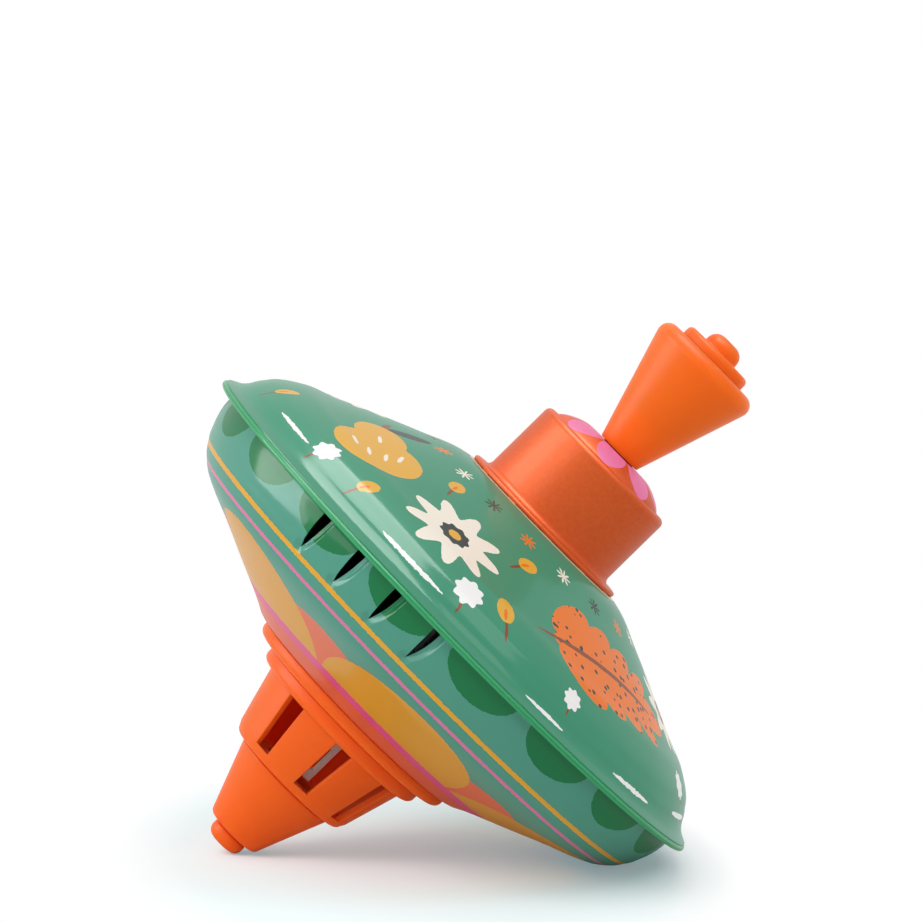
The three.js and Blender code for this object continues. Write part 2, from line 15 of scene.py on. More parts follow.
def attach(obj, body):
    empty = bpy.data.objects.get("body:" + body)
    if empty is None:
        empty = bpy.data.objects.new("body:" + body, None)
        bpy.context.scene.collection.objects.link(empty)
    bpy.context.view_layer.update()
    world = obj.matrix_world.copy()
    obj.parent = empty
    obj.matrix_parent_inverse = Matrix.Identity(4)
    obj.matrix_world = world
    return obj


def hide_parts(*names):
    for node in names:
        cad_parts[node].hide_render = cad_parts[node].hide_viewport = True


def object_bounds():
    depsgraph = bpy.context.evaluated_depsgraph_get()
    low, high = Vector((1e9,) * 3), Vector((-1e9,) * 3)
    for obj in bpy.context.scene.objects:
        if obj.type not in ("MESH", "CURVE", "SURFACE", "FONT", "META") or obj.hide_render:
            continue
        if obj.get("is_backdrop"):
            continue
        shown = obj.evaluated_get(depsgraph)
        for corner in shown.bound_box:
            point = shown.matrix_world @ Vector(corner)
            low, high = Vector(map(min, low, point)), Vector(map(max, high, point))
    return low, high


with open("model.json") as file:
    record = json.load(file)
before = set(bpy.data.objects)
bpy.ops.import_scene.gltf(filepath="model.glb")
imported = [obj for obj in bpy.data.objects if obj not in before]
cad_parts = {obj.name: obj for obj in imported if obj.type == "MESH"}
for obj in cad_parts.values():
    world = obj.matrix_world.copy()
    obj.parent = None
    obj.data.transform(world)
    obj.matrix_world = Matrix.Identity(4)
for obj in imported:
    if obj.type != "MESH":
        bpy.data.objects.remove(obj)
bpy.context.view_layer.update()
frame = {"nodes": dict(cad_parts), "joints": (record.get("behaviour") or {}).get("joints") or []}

MM = 0.001

# Where the top lies, from the joint on its spin axis
spin = next(joint for joint in frame["joints"] if joint["name"] == "handle_spin")
spin_axis = Vector(spin["axis"])
lean = math.atan2(spin_axis.x, spin_axis.z)
tip_place = Vector(spin["pos_m"])
laid = Matrix.Translation(tip_place) @ Matrix.Rotation(lean, 4, "Y")
upright = laid.inverted()


def extent(node_name):
    """Lowest and highest place of a CAD node along the spin axis, and its reach, in mm."""
    places = [upright @ vertex.co / MM for vertex in frame["nodes"][node_name].data.vertices]
    heights = [place.z for place in places]
    return min(heights), max(heights), max(place.xy.length for place in places)


# Heights and radii of the parts
_, tip_top, tip_radius = extent("foot_tip")
cone_base, spigot_top, cone_radius = extent("foot_cone")
housing_base, neck_top, ring_radius = extent("foot_housing")
flange_base, flange_top, flange_radius = extent("foot_flange")
shell_base, lower_top, _ = extent("lower_shell")
hem_base, shell_top, rim_radius = extent("upper_shell")
tab_bottom, dome_top, cap_flange_radius = extent("crown_cap")
bush_base, _, bush_flange_radius = extent("guide_bush")
rod_base, rod_top, rod_reach = extent("twist_rod")
slider_base, slider_top, _ = extent("rod_end_slider")
handle_base, handle_top, _ = extent("handle_grip")
plug_base, button_top, step_radius = extent("handle_end_cap")

# The azimuth of the side that the camera sees
FRONT = -98

# The gap where one piece sits in another, and one too small to see
SEAT_GAP = 0.3
HAIR = 0.05

TIN_WALL = 0.4
lower_flange_z = lower_top - TIN_WALL
cap_base = shell_top + SEAT_GAP
housing_top = flange_base - SEAT_GAP
cone_top = housing_base - SEAT_GAP

# Foot
TIP_HEIGHT = 4.4
TIP_CORNER = 2.8
TIP_TOP_CORNER = 0.8
TIP_STEM_RADIUS = 3.4
CONE_BOTTOM_RADIUS = 9.3
CONE_CORNER = 2
CONE_TOP_CORNER = 0.6
CONE_LEAN = 16
CONE_FLOOR = 12.4
CONE_WALL = 2.4
SPIGOT_RADIUS = 13
HOUSING_BOTTOM_RADIUS = 20.8
HOUSING_TOP_RADIUS = 26.4
HOUSING_CORNER = 1.7
HOUSING_LEAN = 17
HOUSING_WALL = 2.1
HOUSING_FLOOR = 2.6
HOUSING_DECK = 2.2
RING_HEIGHT = 4.4
RING_CORNER = 2
RING_TOP_CORNER = 0.6
NECK_RADIUS = 11.7
TUBE_SOCKET_RADIUS = 7.6
THROAT_RADIUS = 6.3
WINDOW_GROUPS = 2
WINDOWS_IN_GROUP = 3
WINDOW_PITCH = 45
WINDOW_DEGREES = 14.6
FIRST_WINDOW = -129.5
WINDOW_SILL = 0.2
WINDOW_LINTEL = 0.4
WINDOW_EDGE = 0.25
WINDOW_COLUMNS = 8
PIER_COLUMNS = 16
FLANGE_CORNER = 2.2
FLANGE_TOP_CORNER = 0.5

# Shells
BELLY_RADIUS = 90.2
SHELL_FOOT_RADIUS = 39.7
SHELL_FOOT_CORNER = 0.5
RIM_FILLET = 1.7
# Points of a shell's side, as shares of its run in radius and of its rise
LOWER_SHELL_SHARES = (
    (0.091, 0.063), (0.182, 0.115), (0.366, 0.218), (0.546, 0.323), (0.645, 0.374),
    (0.737, 0.425), (0.809, 0.475), (0.853, 0.522), (0.891, 0.571), (0.918, 0.622),
    (0.941, 0.668), (0.958, 0.72), (0.974, 0.771), (0.986, 0.822), (0.995, 0.873), (1, 0.924),
)
HEM_REACH = 2.9
HEM_THICKNESS = 1.8
LANDING_RADIUS = 30
LANDING_RUN_IN = 1.5
UPPER_SHELL_SHARES = (
    (0.988, 0.012), (0.967, 0.032), (0.944, 0.056), (0.915, 0.112), (0.897, 0.169),
    (0.875, 0.223), (0.849, 0.283), (0.818, 0.332), (0.775, 0.386), (0.723, 0.442),
    (0.651, 0.494), (0.44, 0.667), (0.22, 0.842), (0.06, 0.965),
)
CLUTCH_HOLE_RADIUS = 9.6
SLIT_COLUMNS = 4
BETWEEN_SLITS_COLUMNS = 20

# Whistle slots, and the dents that open them
SLOT_WIDTH = 2.5
SLOT_LENGTH = 11.6
SLOT_BELOW_RIM = 0.8
SLOT_DEPTH = 1.5
SLOT_TAPER = 2.2
FIRST_SLOT = -127.8
SLOT_PITCH = 9.7
SLOTS_IN_GROUP = 4
SLOT_GROUPS = 2
# The steep side of a dent, and the share of the depth that it takes
DENT_WALL = 2.4
DENT_WALL_SHARE = 0.8
DENT_END = 2.2
DENT_END_DEPTH = 1.1
# Widths of a dent by the share of the slot's length, from the top down
DENT_WIDTHS = ((0, 4.8), (0.25, 4.7), (0.5, 4.3), (0.75, 3.4), (1, DENT_END))
SLOT_ROWS = 36
DENT_END_ROWS = 7
SLOT_COLUMNS = 50
DENT_BEFORE_COLUMNS = 8
BELLY_ROW_STEP = 4
LEAST_ROW_GAP = 0.3
DEGREES_IN_COLUMN = 2

# Cap
CAP_RADIUS = 23.8
CAP_WALL = 0.6
CAP_FLANGE = 1.4
CAP_FLANGE_FILLET = 2
CAP_SHOULDER_HEIGHT = 26
CAP_SHOULDER_CORNER = 1.9
DOME_RADIUS = 20.4
DOME_EDGE = 0.9
DOME_TOP_RADIUS = 12.8
DOME_TOP_DROP = 0.1
DOME_BEND_OUT = 3.5
DOME_BEND_DROP = 1.4
TAB_COUNT = 12
FIRST_TAB = -92
TAB_WIDTH = 3.2
TAB_THICKNESS = 0.5
TAB_INSET = 0.2
tab_outer = cap_flange_radius - TAB_INSET
tab_inner = tab_outer - TAB_THICKNESS

# Rod, slider and handle
ROD_WIDTH = 5.4
ROD_THICKNESS = 1.2
ROD_CORNER = 0.2
TWIST_LEAD = 30
STEPS_IN_TWIST = 40
SLIDER_WIDTH = 9.6
SLIDER_DEPTH = 5.6
SLIDER_TOP_BAR = 3.7
SLIDER_BOTTOM_BAR = 3.3
SLIDER_SIDE_BAR = 1.3
SLIDER_EDGE = 0.3
BUSH_WALL = 1.8
bush_bore = rod_reach + SEAT_GAP
bush_radius = bush_bore + BUSH_WALL
HANDLE_GAP = 0.4
HANDLE_BOTTOM_RADIUS = 7.3
HANDLE_TOP_RADIUS = 17.8
HANDLE_BOTTOM_CORNER = 0.5
HANDLE_BOTTOM_LEAN = 18
HANDLE_TOP_CORNER = 3.5
HANDLE_TOP_LEAN = 17
POCKET_RADIUS = 9.6
POCKET_FLOOR = 13.6
STEP_HEIGHT = 3
STEP_CORNER = 1.6
BUTTON_RADIUS = 5.8
BUTTON_CORNER = 3.6
BUTTON_FILLET = 0.5


# Outlines

def arc(radius, height, bend, start, end, steps=6):
    """Points of a bend about (radius, height), from one angle to another in degrees."""
    angles = [math.radians(start + (end - start) * step / steps) for step in range(steps + 1)]
    return [(radius + bend * math.cos(angle), height + bend * math.sin(angle)) for angle in angles]


def lower_corner(radius, base, bend, lean=0, steps=6):
    """Points round the lower corner of a side that leans out by so many degrees."""
    return arc(radius - bend, base + bend, bend, -90, -lean, steps)


def upper_corner(radius, top, bend, lean=0, steps=6):
    """Points round the upper corner of a side that leans out by so many degrees."""
    return arc(radius - bend, top - bend, bend, -lean, 90, steps)


def curve_through(points, steps=6):
    """Points of a smooth line through the given ones, with so many steps between two of them."""
    places = [Vector(point) for point in points]
    chords = [there - here for here, there in zip(places, places[1:])]
    headings = [chords[0].normalized()]
    for before, after in zip(chords, chords[1:]):
        headings.append((before / before.length_squared + after / after.length_squared).normalized())
    headings.append(chords[-1].normalized())
    line = []
    for here, there, leaving, arriving in zip(places, places[1:], headings, headings[1:]):
        pull = (there - here).length
        for step in range(steps):
            t = step / steps
            line.append(
                here * (2 * t**3 - 3 * t**2 + 1)
                + leaving * pull * (t**3 - 2 * t**2 + t)
                + there * (3 * t**2 - 2 * t**3)
                + arriving * pull * (t**3 - t**2)
            )
    return [tuple(place) for place in line] + [tuple(places[-1])]


def value_at(line, place):
    """Value at a place on a line of [place, value] pairs whose places rise."""
    for (here, value), (there, next_value) in zip(line, line[1:]):
        if here <= place <= there:
            return value + (next_value - value) * (place - here) / (there - here)
    return line[-1][1]


# Mesh making

TURN_STEPS = 192
SMALL_STEPS = 96
MERGE = 5e-6
CENTRE = (0, 0, 0)
UP = (0, 0, 1)
SHARP_DEGREES = 32
FLAT_RADIANS = 0.01


def profile(points, closed, first):
    """Edges through [radius, height] points, in the plane of an azimuth."""
    bm = bmesh.new()
    verts = [bm.verts.new((radius * MM, 0, height * MM)) for radius, height in points]
    for here, there in zip(verts, verts[1:] + (verts[:1] if closed else [])):
        bm.edges.new((here, there))
    turn = Matrix.Rotation(math.radians(first), 3, UP)
    bmesh.ops.rotate(bm, verts=bm.verts, cent=CENTRE, matrix=turn)
    return bm


def turned(points, steps=TURN_STEPS):
    """A profile turned all the way round the spin axis, and closed where it starts off that axis."""
    bm = profile(points, closed=points[0][0] > 0, first=0)
    bmesh.ops.spin(
        bm, geom=bm.verts[:] + bm.edges[:], cent=CENTRE, axis=UP,
        angle=math.tau, steps=steps, use_merge=True,
    )
    bmesh.ops.remove_doubles(bm, verts=bm.verts, dist=MERGE)
    bmesh.ops.recalc_face_normals(bm, faces=bm.faces)
    return bm


def turned_in_sectors(points, sectors, first, closed=False):
    """A profile turned round in sectors of [degrees, steps], so that edges fall where they meet."""
    bm = profile(points, closed, first)
    edge = bm.verts[:] + bm.edges[:]
    for degrees, steps in sectors:
        swept = bmesh.ops.spin(
            bm, geom=edge, cent=CENTRE, axis=UP, angle=math.radians(degrees), steps=steps,
        )
        edge = [part for part in swept["geom_last"] if not isinstance(part, bmesh.types.BMFace)]
    bmesh.ops.remove_doubles(bm, verts=bm.verts, dist=MERGE)
    bmesh.ops.recalc_face_normals(bm, faces=bm.faces)
    return bm


def azimuth_past(place, start):
    """Degrees from a start azimuth to a place, from 0 to 360."""
    return (math.degrees(math.atan2(place.y, place.x)) - start) % 360


def wall_inwards(bm, wall):
    """Gives a sheet its thickness on the inner side, which takes the second material."""

    def outwardness(face):
        """How far a face looks away from the spin axis."""
        return face.normal.xy.dot(face.calc_center_median().xy)

    if outwardness(max(bm.faces, key=lambda face: abs(outwardness(face)))) < 0:
        bmesh.ops.reverse_faces(bm, faces=bm.faces)
    inner = bmesh.ops.solidify(bm, geom=bm.faces[:], thickness=wall * MM)
    for part in inner["geom"]:
        if isinstance(part, bmesh.types.BMFace):
            part.material_index = 1


def scene_object(name, data):
    """A new object of the scene with this data."""
    made = bpy.data.objects.new(name, data)
    bpy.context.scene.collection.objects.link(made)
    return made


def mesh_object(name, bm, materials):
    """A finished mesh as an object of the scene."""
    mesh = bpy.data.meshes.new(name)
    bm.to_mesh(mesh)
    bm.free()
    for material in materials:
        mesh.materials.append(material)
    return scene_object(name, mesh)


def make_piece(name, bm, body, materials, node_name):
    """Lays a finished mesh down, and makes it the piece that stands for a CAD node."""
    for face in bm.faces:
        face.smooth = True
    for edge in bm.edges:
        edge.smooth = edge.is_manifold and edge.calc_face_angle() < math.radians(SHARP_DEGREES)
    bmesh.ops.transform(bm, matrix=laid, verts=bm.verts)
    piece = mesh_object(name, bm, materials)
    weighted = piece.modifiers.new("weighted_normals", "WEIGHTED_NORMAL")
    weighted.keep_sharp = True
    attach(piece, body)
    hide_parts(node_name)


# Materials

def linear(hex_colour):
    """An sRGB hex colour as linear RGBA."""
    shares = [int(hex_colour[start:start + 2], 16) / 255 for start in (1, 3, 5)]
    lit = [share / 12.92 if share <= 0.04045 else ((share + 0.055) / 1.055) ** 2.4 for share in shares]
    return (*lit, 1)


def node(tree, kind, inputs, output=0, **settings):
    """Adds a node with its settings, links or fills its inputs, and gives the output or outputs."""
    made = tree.nodes.new("ShaderNode" + kind)
    for setting, value in settings.items():
        setattr(made, setting, value)
    for socket, value in inputs.items():
        if isinstance(value, bpy.types.NodeSocket):
            tree.links.new(value, made.inputs[socket])
        else:
            made.inputs[socket].default_value = value
    if isinstance(output, tuple):
        return [made.outputs[name] for name in output]
    return made.outputs[output] if made.outputs else None


def new_material(name):
    """A material with an empty node tree, and that tree."""
    material = bpy.data.materials.new(name)
    material.use_nodes = True
    material.node_tree.nodes.clear()
    return material, material.node_tree


def axis_place(tree):
    """Place on the upright top in mm, with the tip at 0 and the spin axis as Z."""
    place = node(tree, "TexCoord", {}, "Object")
    laid_down = {"Vector": place, "Location": tip_place, "Rotation": (0, lean, 0), "Scale": (MM, MM, MM)}
    return node(tree, "Mapping", laid_down, vector_type="TEXTURE")


def jittered(tree, place, waves_per_mm, reach):
    """A place moved a little by noise, for the uneven edges of a drawn line."""
    noise = node(tree, "TexNoise", {"Vector": place, "Scale": waves_per_mm, "Detail": 3}, "Color")
    centred = node(tree, "VectorMath", {0: noise, 1: (0.5, 0.5, 0.5)}, operation="SUBTRACT")
    push = node(tree, "VectorMath", {0: centred, "Scale": 2 * reach}, operation="SCALE")
    return node(tree, "VectorMath", {0: place, 1: push}, operation="ADD")


def azimuth_of(tree, x, y):
    """Azimuth of a place, in degrees."""
    radians = node(tree, "Math", {0: y, 1: x}, operation="ARCTAN2")
    return node(tree, "Math", {0: radians}, operation="DEGREES")


def radius_of(tree, x, y):
    """Distance of a place from the spin axis, in mm."""
    flat = node(tree, "CombineXYZ", {"X": x, "Y": y})
    return node(tree, "VectorMath", {0: flat}, "Value", operation="LENGTH")


def inside_oval(tree, place, centre, half_sizes, turn=0):
    """1 inside an oval with that centre, half sizes and turn, 0 outside it."""
    fitted = {
        "Vector": place, "Location": (*centre, 0), "Rotation": (0, 0, math.radians(turn)),
        "Scale": (*half_sizes, 1),
    }
    within = node(tree, "Mapping", fitted, vector_type="TEXTURE")
    distance = node(tree, "VectorMath", {0: within}, "Value", operation="LENGTH")
    return node(tree, "Math", {0: distance, 1: 1}, operation="LESS_THAN")


def inked(tree, ground, layers):
    """Lays inks over a ground colour, one after another: [mask, hex colour]."""
    for mask, ink in layers:
        ground = node(tree, "Mix", {0: mask, 6: ground, 7: linear(ink)}, 2, data_type="RGBA")
    return ground


def repeated(tree, azimuth, height, first, pitch):
    """A flat place [degrees, mm] that starts again at each pitch, with 0 in its middle."""
    past = node(tree, "Math", {0: azimuth, 1: first}, operation="SUBTRACT")
    degrees = node(tree, "Math", {0: past, 1: pitch / 2, 2: -pitch / 2}, operation="WRAP")
    return node(tree, "CombineXYZ", {"X": degrees, "Y": height})


def moulded_polypropylene(name, colour):
    """Injection-moulded polypropylene: satin, with light that goes a little way in."""
    material, tree = new_material(name)
    grain = node(tree, "TexNoise", {"Vector": axis_place(tree), "Scale": 0.9, "Detail": 2})
    bump = node(tree, "Bump", {"Strength": 0.06, "Distance": 0.05 * MM, "Height": grain}, "Normal")
    surface = node(tree, "BsdfPrincipled", {
        "Base Color": linear(colour), "Roughness": 0.4, "IOR": 1.49, "Specular IOR Level": 0.12,
        "Normal": bump, "Subsurface Weight": 0.5, "Subsurface Radius": (1, 0.2, 0.05),
        "Subsurface Scale": 5 * MM,
    })
    node(tree, "OutputMaterial", {"Surface": surface})
    return material


def natural_nylon(name, colour):
    """Moulded uncoloured nylon: creamy, half clear at its edges."""
    material, tree = new_material(name)
    cloud = node(tree, "TexNoise", {"Vector": axis_place(tree), "Scale": 0.25, "Detail": 2})
    tone = inked(tree, linear(colour), [(cloud, "#F2E6DC")])
    surface = node(tree, "BsdfPrincipled", {
        "Base Color": tone, "Roughness": 0.45, "IOR": 1.53,
        "Subsurface Weight": 0.25, "Subsurface Radius": (1, 0.8, 0.6), "Subsurface Scale": 1.2 * MM,
    })
    node(tree, "OutputMaterial", {"Surface": surface})
    return material


def nylon_darkened_as_shade(name):
    """Moulded nylon, near-black as painted shade for the gap under the handle, with a dull sheen."""
    material, tree = new_material(name)
    cloud = node(tree, "TexNoise", {"Vector": axis_place(tree), "Scale": 0.5, "Detail": 2})
    rough = node(tree, "MapRange", {"Value": cloud, "To Min": 0.45, "To Max": 0.6})
    surface = node(tree, "BsdfPrincipled", {
        "Base Color": linear("#231B18"), "Roughness": rough, "IOR": 1.53, "Specular IOR Level": 0.2,
    })
    node(tree, "OutputMaterial", {"Surface": surface})
    return material


def zinc_plated_steel(name):
    """Zinc-plated mild steel: bright grey, a little cloudy from the plating."""
    material, tree = new_material(name)
    cloud = node(tree, "TexNoise", {"Vector": axis_place(tree), "Scale": 0.6, "Detail": 4})
    rough = node(tree, "MapRange", {"Value": cloud, "To Min": 0.2, "To Max": 0.4})
    surface = node(tree, "BsdfPrincipled", {
        "Base Color": linear("#C4C7CB"), "Metallic": 1, "Roughness": rough,
    })
    node(tree, "OutputMaterial", {"Surface": surface})
    return material


def bare_tinplate(name):
    """Unprinted tinplate on the inside of the shells: dull silver with rolling marks."""
    material, tree = new_material(name)
    rolled = node(tree, "Mapping", {"Vector": axis_place(tree), "Scale": (0.15, 3, 0.15)})
    marks = node(tree, "TexNoise", {"Vector": rolled, "Scale": 1, "Detail": 3})
    rough = node(tree, "MapRange", {"Value": marks, "To Min": 0.3, "To Max": 0.5})
    surface = node(tree, "BsdfPrincipled", {
        "Base Color": linear("#9C9D98"), "Metallic": 1, "Roughness": rough,
    })
    node(tree, "OutputMaterial", {"Surface": surface})
    return material


PRINT_GLOSS = {
    "Roughness": 0.5, "Specular IOR Level": 0.05,
    "Coat Weight": 0.35, "Coat Roughness": 0.13, "Coat IOR": 1.5,
}

# The uneven edges of the print: waves for each mm, and their reach
LOWER_INK_EDGE = (1.3, 0.34)
UPPER_INK_EDGE = (0.7, 0.3)

# Print on the lower shell. A stripe has its middle height, half width and ink.
STRIPES = (
    (80.4, 0.66, "#DDA22E"), (76.4, 0.45, "#DB74A0"), (30.25, 30.25, "#DF5F3C"), (60.5, 1, "#DB4F86"),
)
SCALLOP_COUNT = 18
FIRST_SCALLOP = FRONT + 12
SCALLOP_HALF_SIZES = (8.2, 8.6)
OVAL_PITCH = 60
FIRST_OVAL = FRONT + 11
OVAL_MIDDLE = 58
OVAL_HALF_SIZES = (29.6, 15.6)
REAR_OVAL_HALF_SIZES = (24, 12.3)


def printed_lower_tin():
    """Offset-printed and clear-lacquered tinplate: flat inks under a glossy coat."""
    material, tree = new_material("printed_tin_lower")
    place = axis_place(tree)
    drawn = jittered(tree, place, *LOWER_INK_EDGE)
    x, y, z = node(tree, "SeparateXYZ", {"Vector": drawn}, ("X", "Y", "Z"))
    azimuth = azimuth_of(tree, x, y)
    cloud = node(tree, "TexNoise", {"Vector": place, "Scale": 0.03, "Detail": 2})
    layers = [(cloud, "#549A86")]
    for first, pitch, middle, half_sizes, ink in (
        (FIRST_SCALLOP, 360 / SCALLOP_COUNT, lower_flange_z, SCALLOP_HALF_SIZES, "#127443"),
        (FIRST_OVAL + OVAL_PITCH / 2, OVAL_PITCH, OVAL_MIDDLE, REAR_OVAL_HALF_SIZES, "#E06A42"),
        (FIRST_OVAL, OVAL_PITCH, OVAL_MIDDLE, OVAL_HALF_SIZES, "#D99B2C"),
    ):
        flat = repeated(tree, azimuth, z, first, pitch)
        layers.append((inside_oval(tree, flat, (0, middle), half_sizes), ink))
    for middle, half_width, ink in STRIPES:
        stripe = node(tree, "Math", {0: z, 1: middle, 2: half_width}, operation="COMPARE")
        layers.append((stripe, ink))
    colour = inked(tree, linear("#47927D"), layers)
    surface = node(tree, "BsdfPrincipled", {"Base Color": colour, **PRINT_GLOSS})
    node(tree, "OutputMaterial", {"Surface": surface})
    return material


# Print on the shoulder. A motif has its azimuth, radius, turn and size, and comes twice round the top.
CREAM = "#F4EBDC"
WHITE = "#F4F3F2"
INK_DARK = "#2E3A36"
INK_BROWN = "#8A4A2C"
INK_YELLOW = "#E3AC3C"
INK_ORANGE = "#EF7712"
PEARS = ((-146, 66, 62, 1.2),)
DAISIES = ((-111, 69, 15, 1.25), (-13, 62, 0, 1))
LEAVES = ((-57, 63, 6, 1.3),)
BUDS = ((-128, 50, 20, 1), (-168, 84, 0, 1), (-128, 84, -12, 1), (-93, 52, -30, 1.1), (-91, 79, 24, 1.25))
CLOVERS = ((-140, 85.5, -8, 1), (-99, 83.5, 6, 1.15), (-70, 84.5, -4, 0.8), (-22, 82.5, 8, 1))
# Specks of the leaf: how many in a mm, and how large against the room that each has
SPECKS_IN_MM = 0.42
SPECK_SHARE = 0.25
# How far round a motif the shoulder's slope is read, and a size that leaves a motif no depth
MOTIF_REACH = 3
NO_DEPTH = 1e5
BLOSSOM_RADIUS = 41
BLOSSOM_COUNT = 18
CAP_SEAT_RING = 1.1
HEM_PRINT_OVER = 0.2
# Lines along the hem, in shares of its thickness
HEM_LINES = (0.5, 1.05)
HEM_LINE_WIDTH = 0.26
# White arcs near the rim, with azimuth, radius and length in degrees
RIM_ARC_HALF_WIDTH = 0.42
RIM_ARCS = ((-150, 87.4, 13), (-110, 88.2, 16), (-74, 90.4, 10), (-47, 89.6, 14), (-21, 88.4, 12))


def on_shoulder(tree, place, azimuth, radius, turn, size):
    """Place in a motif's own frame on the shoulder: mm to the right and up towards the cap."""
    angle = math.radians(azimuth)
    outward = Vector((math.cos(angle), math.sin(angle), 0))
    right = Vector((-math.sin(angle), math.cos(angle), 0))
    inner, height, outer = [
        value_at(shoulder_heights, radius + step) for step in (-MOTIF_REACH, 0, MOTIF_REACH)
    ]
    fall = math.atan2(inner - outer, 2 * MOTIF_REACH)
    inward = Vector(UP) * math.sin(fall) - outward * math.cos(fall)
    axes = Matrix((right, inward, right.cross(inward))).transposed()
    turned_axes = axes @ Matrix.Rotation(math.radians(turn), 3, "Z")
    laid_out = {
        "Vector": place, "Location": outward * radius + Vector(UP) * height,
        "Rotation": turned_axes.to_euler(), "Scale": (size, size, NO_DEPTH),
    }
    return node(tree, "Mapping", laid_out, vector_type="TEXTURE")


def inside_flower(tree, place, petals, radius, depth):
    """1 inside a flower whose edge goes in and out by a depth, once for each petal."""
    x, y = node(tree, "SeparateXYZ", {"Vector": place}, ("X", "Y"))
    around = node(tree, "Math", {0: y, 1: x}, operation="ARCTAN2")
    phase = node(tree, "Math", {0: around, 1: petals}, operation="MULTIPLY")
    wave = node(tree, "Math", {0: phase}, operation="COSINE")
    edge = node(tree, "Math", {0: wave, 1: depth, 2: radius}, operation="MULTIPLY_ADD")
    distance = node(tree, "VectorMath", {0: place}, "Value", operation="LENGTH")
    return node(tree, "Math", {0: distance, 1: edge}, operation="LESS_THAN")


def pear_layers(tree, place):
    """A yellow pear with a stem, a leaf and pale strokes."""
    layers = [
        (inside_oval(tree, place, (2.2, 17), (0.8, 5), -18), INK_BROWN),
        (inside_oval(tree, place, (8.5, 17.5), (6.2, 2.3), 22), INK_DARK),
        (inside_oval(tree, place, (0, -4.5), (11.5, 10.8)), INK_YELLOW),
        (inside_oval(tree, place, (0.6, 6.5), (6.8, 9)), INK_YELLOW),
    ]
    for x, y, turn in ((-6, -4, 14), (-2.4, -7, 4), (2, -6.4, -6), (5.8, -3.4, -16), (0.4, 4, 0)):
        layers.append((inside_oval(tree, place, (x, y), (0.55, 2.4), turn), CREAM))
    return layers


def daisy_layers(tree, place):
    """A cream daisy with a dark eye."""
    return [
        (inside_flower(tree, place, 9, 10.4, 2.6), CREAM),
        (inside_flower(tree, place, 9, 3.8, 0.3), INK_DARK),
        (inside_oval(tree, place, (0, 0), (1.7, 1.7)), INK_YELLOW),
    ]


def leaf_layers(tree, place):
    """A broad orange leaf with rounded lobes, dark specks and a brown rib."""
    body = inside_oval(tree, place, (1, 0), (20, 5.4))
    lobes = [(20, 0, 0, 0.95)]
    for index in range(4):
        shrink = 1 - 0.1 * index
        lobes += [(-11 + 9 * index, side * 7.2 * shrink, side * 36, shrink) for side in (-1, 1)]
    for along, aside, turn, size in lobes:
        lobe = inside_oval(tree, place, (along, aside), (8.6 * size, 4.4 * size), turn)
        body = node(tree, "Math", {0: body, 1: lobe}, operation="MAXIMUM")
    x, y = node(tree, "SeparateXYZ", {"Vector": place}, ("X", "Y"))
    spread = node(tree, "CombineXYZ", {"X": x, "Y": y})
    specks = node(tree, "TexVoronoi", {"Vector": spread, "Scale": SPECKS_IN_MM}, "Distance")
    dark = node(tree, "Math", {0: specks, 1: SPECK_SHARE}, operation="LESS_THAN")
    speckled = node(tree, "Math", {0: dark, 1: body}, operation="MULTIPLY")
    rib = inside_oval(tree, place, (-2, 0), (23, 0.7))
    return [(body, INK_ORANGE), (speckled, INK_DARK), (rib, INK_BROWN)]


def bud_layers(tree, place):
    """A small yellow bud on a short stalk."""
    return [
        (inside_oval(tree, place, (0.4, -4.6), (0.45, 3.4), 6), INK_BROWN),
        (inside_oval(tree, place, (0, 0.6), (2.5, 3.6)), INK_YELLOW),
        (inside_oval(tree, place, (0, -0.6), (0.5, 1.8)), INK_ORANGE),
    ]


def clover_layers(tree, place):
    """A white clover head on a short stalk."""
    return [
        (inside_oval(tree, place, (0.3, -4.8), (0.4, 2.6), 6), INK_BROWN),
        (inside_flower(tree, place, 8, 3.9, 0.45), WHITE),
    ]


def blossom_layers(tree, azimuth, radius):
    """Small eight-pointed blossoms in a ring under the cap, dark, orange and cream in turn."""
    layers = []
    pitch = 360 / BLOSSOM_COUNT
    inks = (INK_DARK, INK_ORANGE, CREAM)
    for index, ink in enumerate(inks):
        flat = repeated(tree, azimuth, radius, FRONT + (index - 1) * pitch, pitch * len(inks))
        middle = {
            "Vector": flat, "Location": (0, BLOSSOM_RADIUS, 0),
            "Scale": (math.degrees(1 / BLOSSOM_RADIUS), 1, 1),
        }
        place = node(tree, "Mapping", middle, vector_type="TEXTURE")
        layers.append((inside_flower(tree, place, 8, 1.7, 1.2), ink))
    return layers


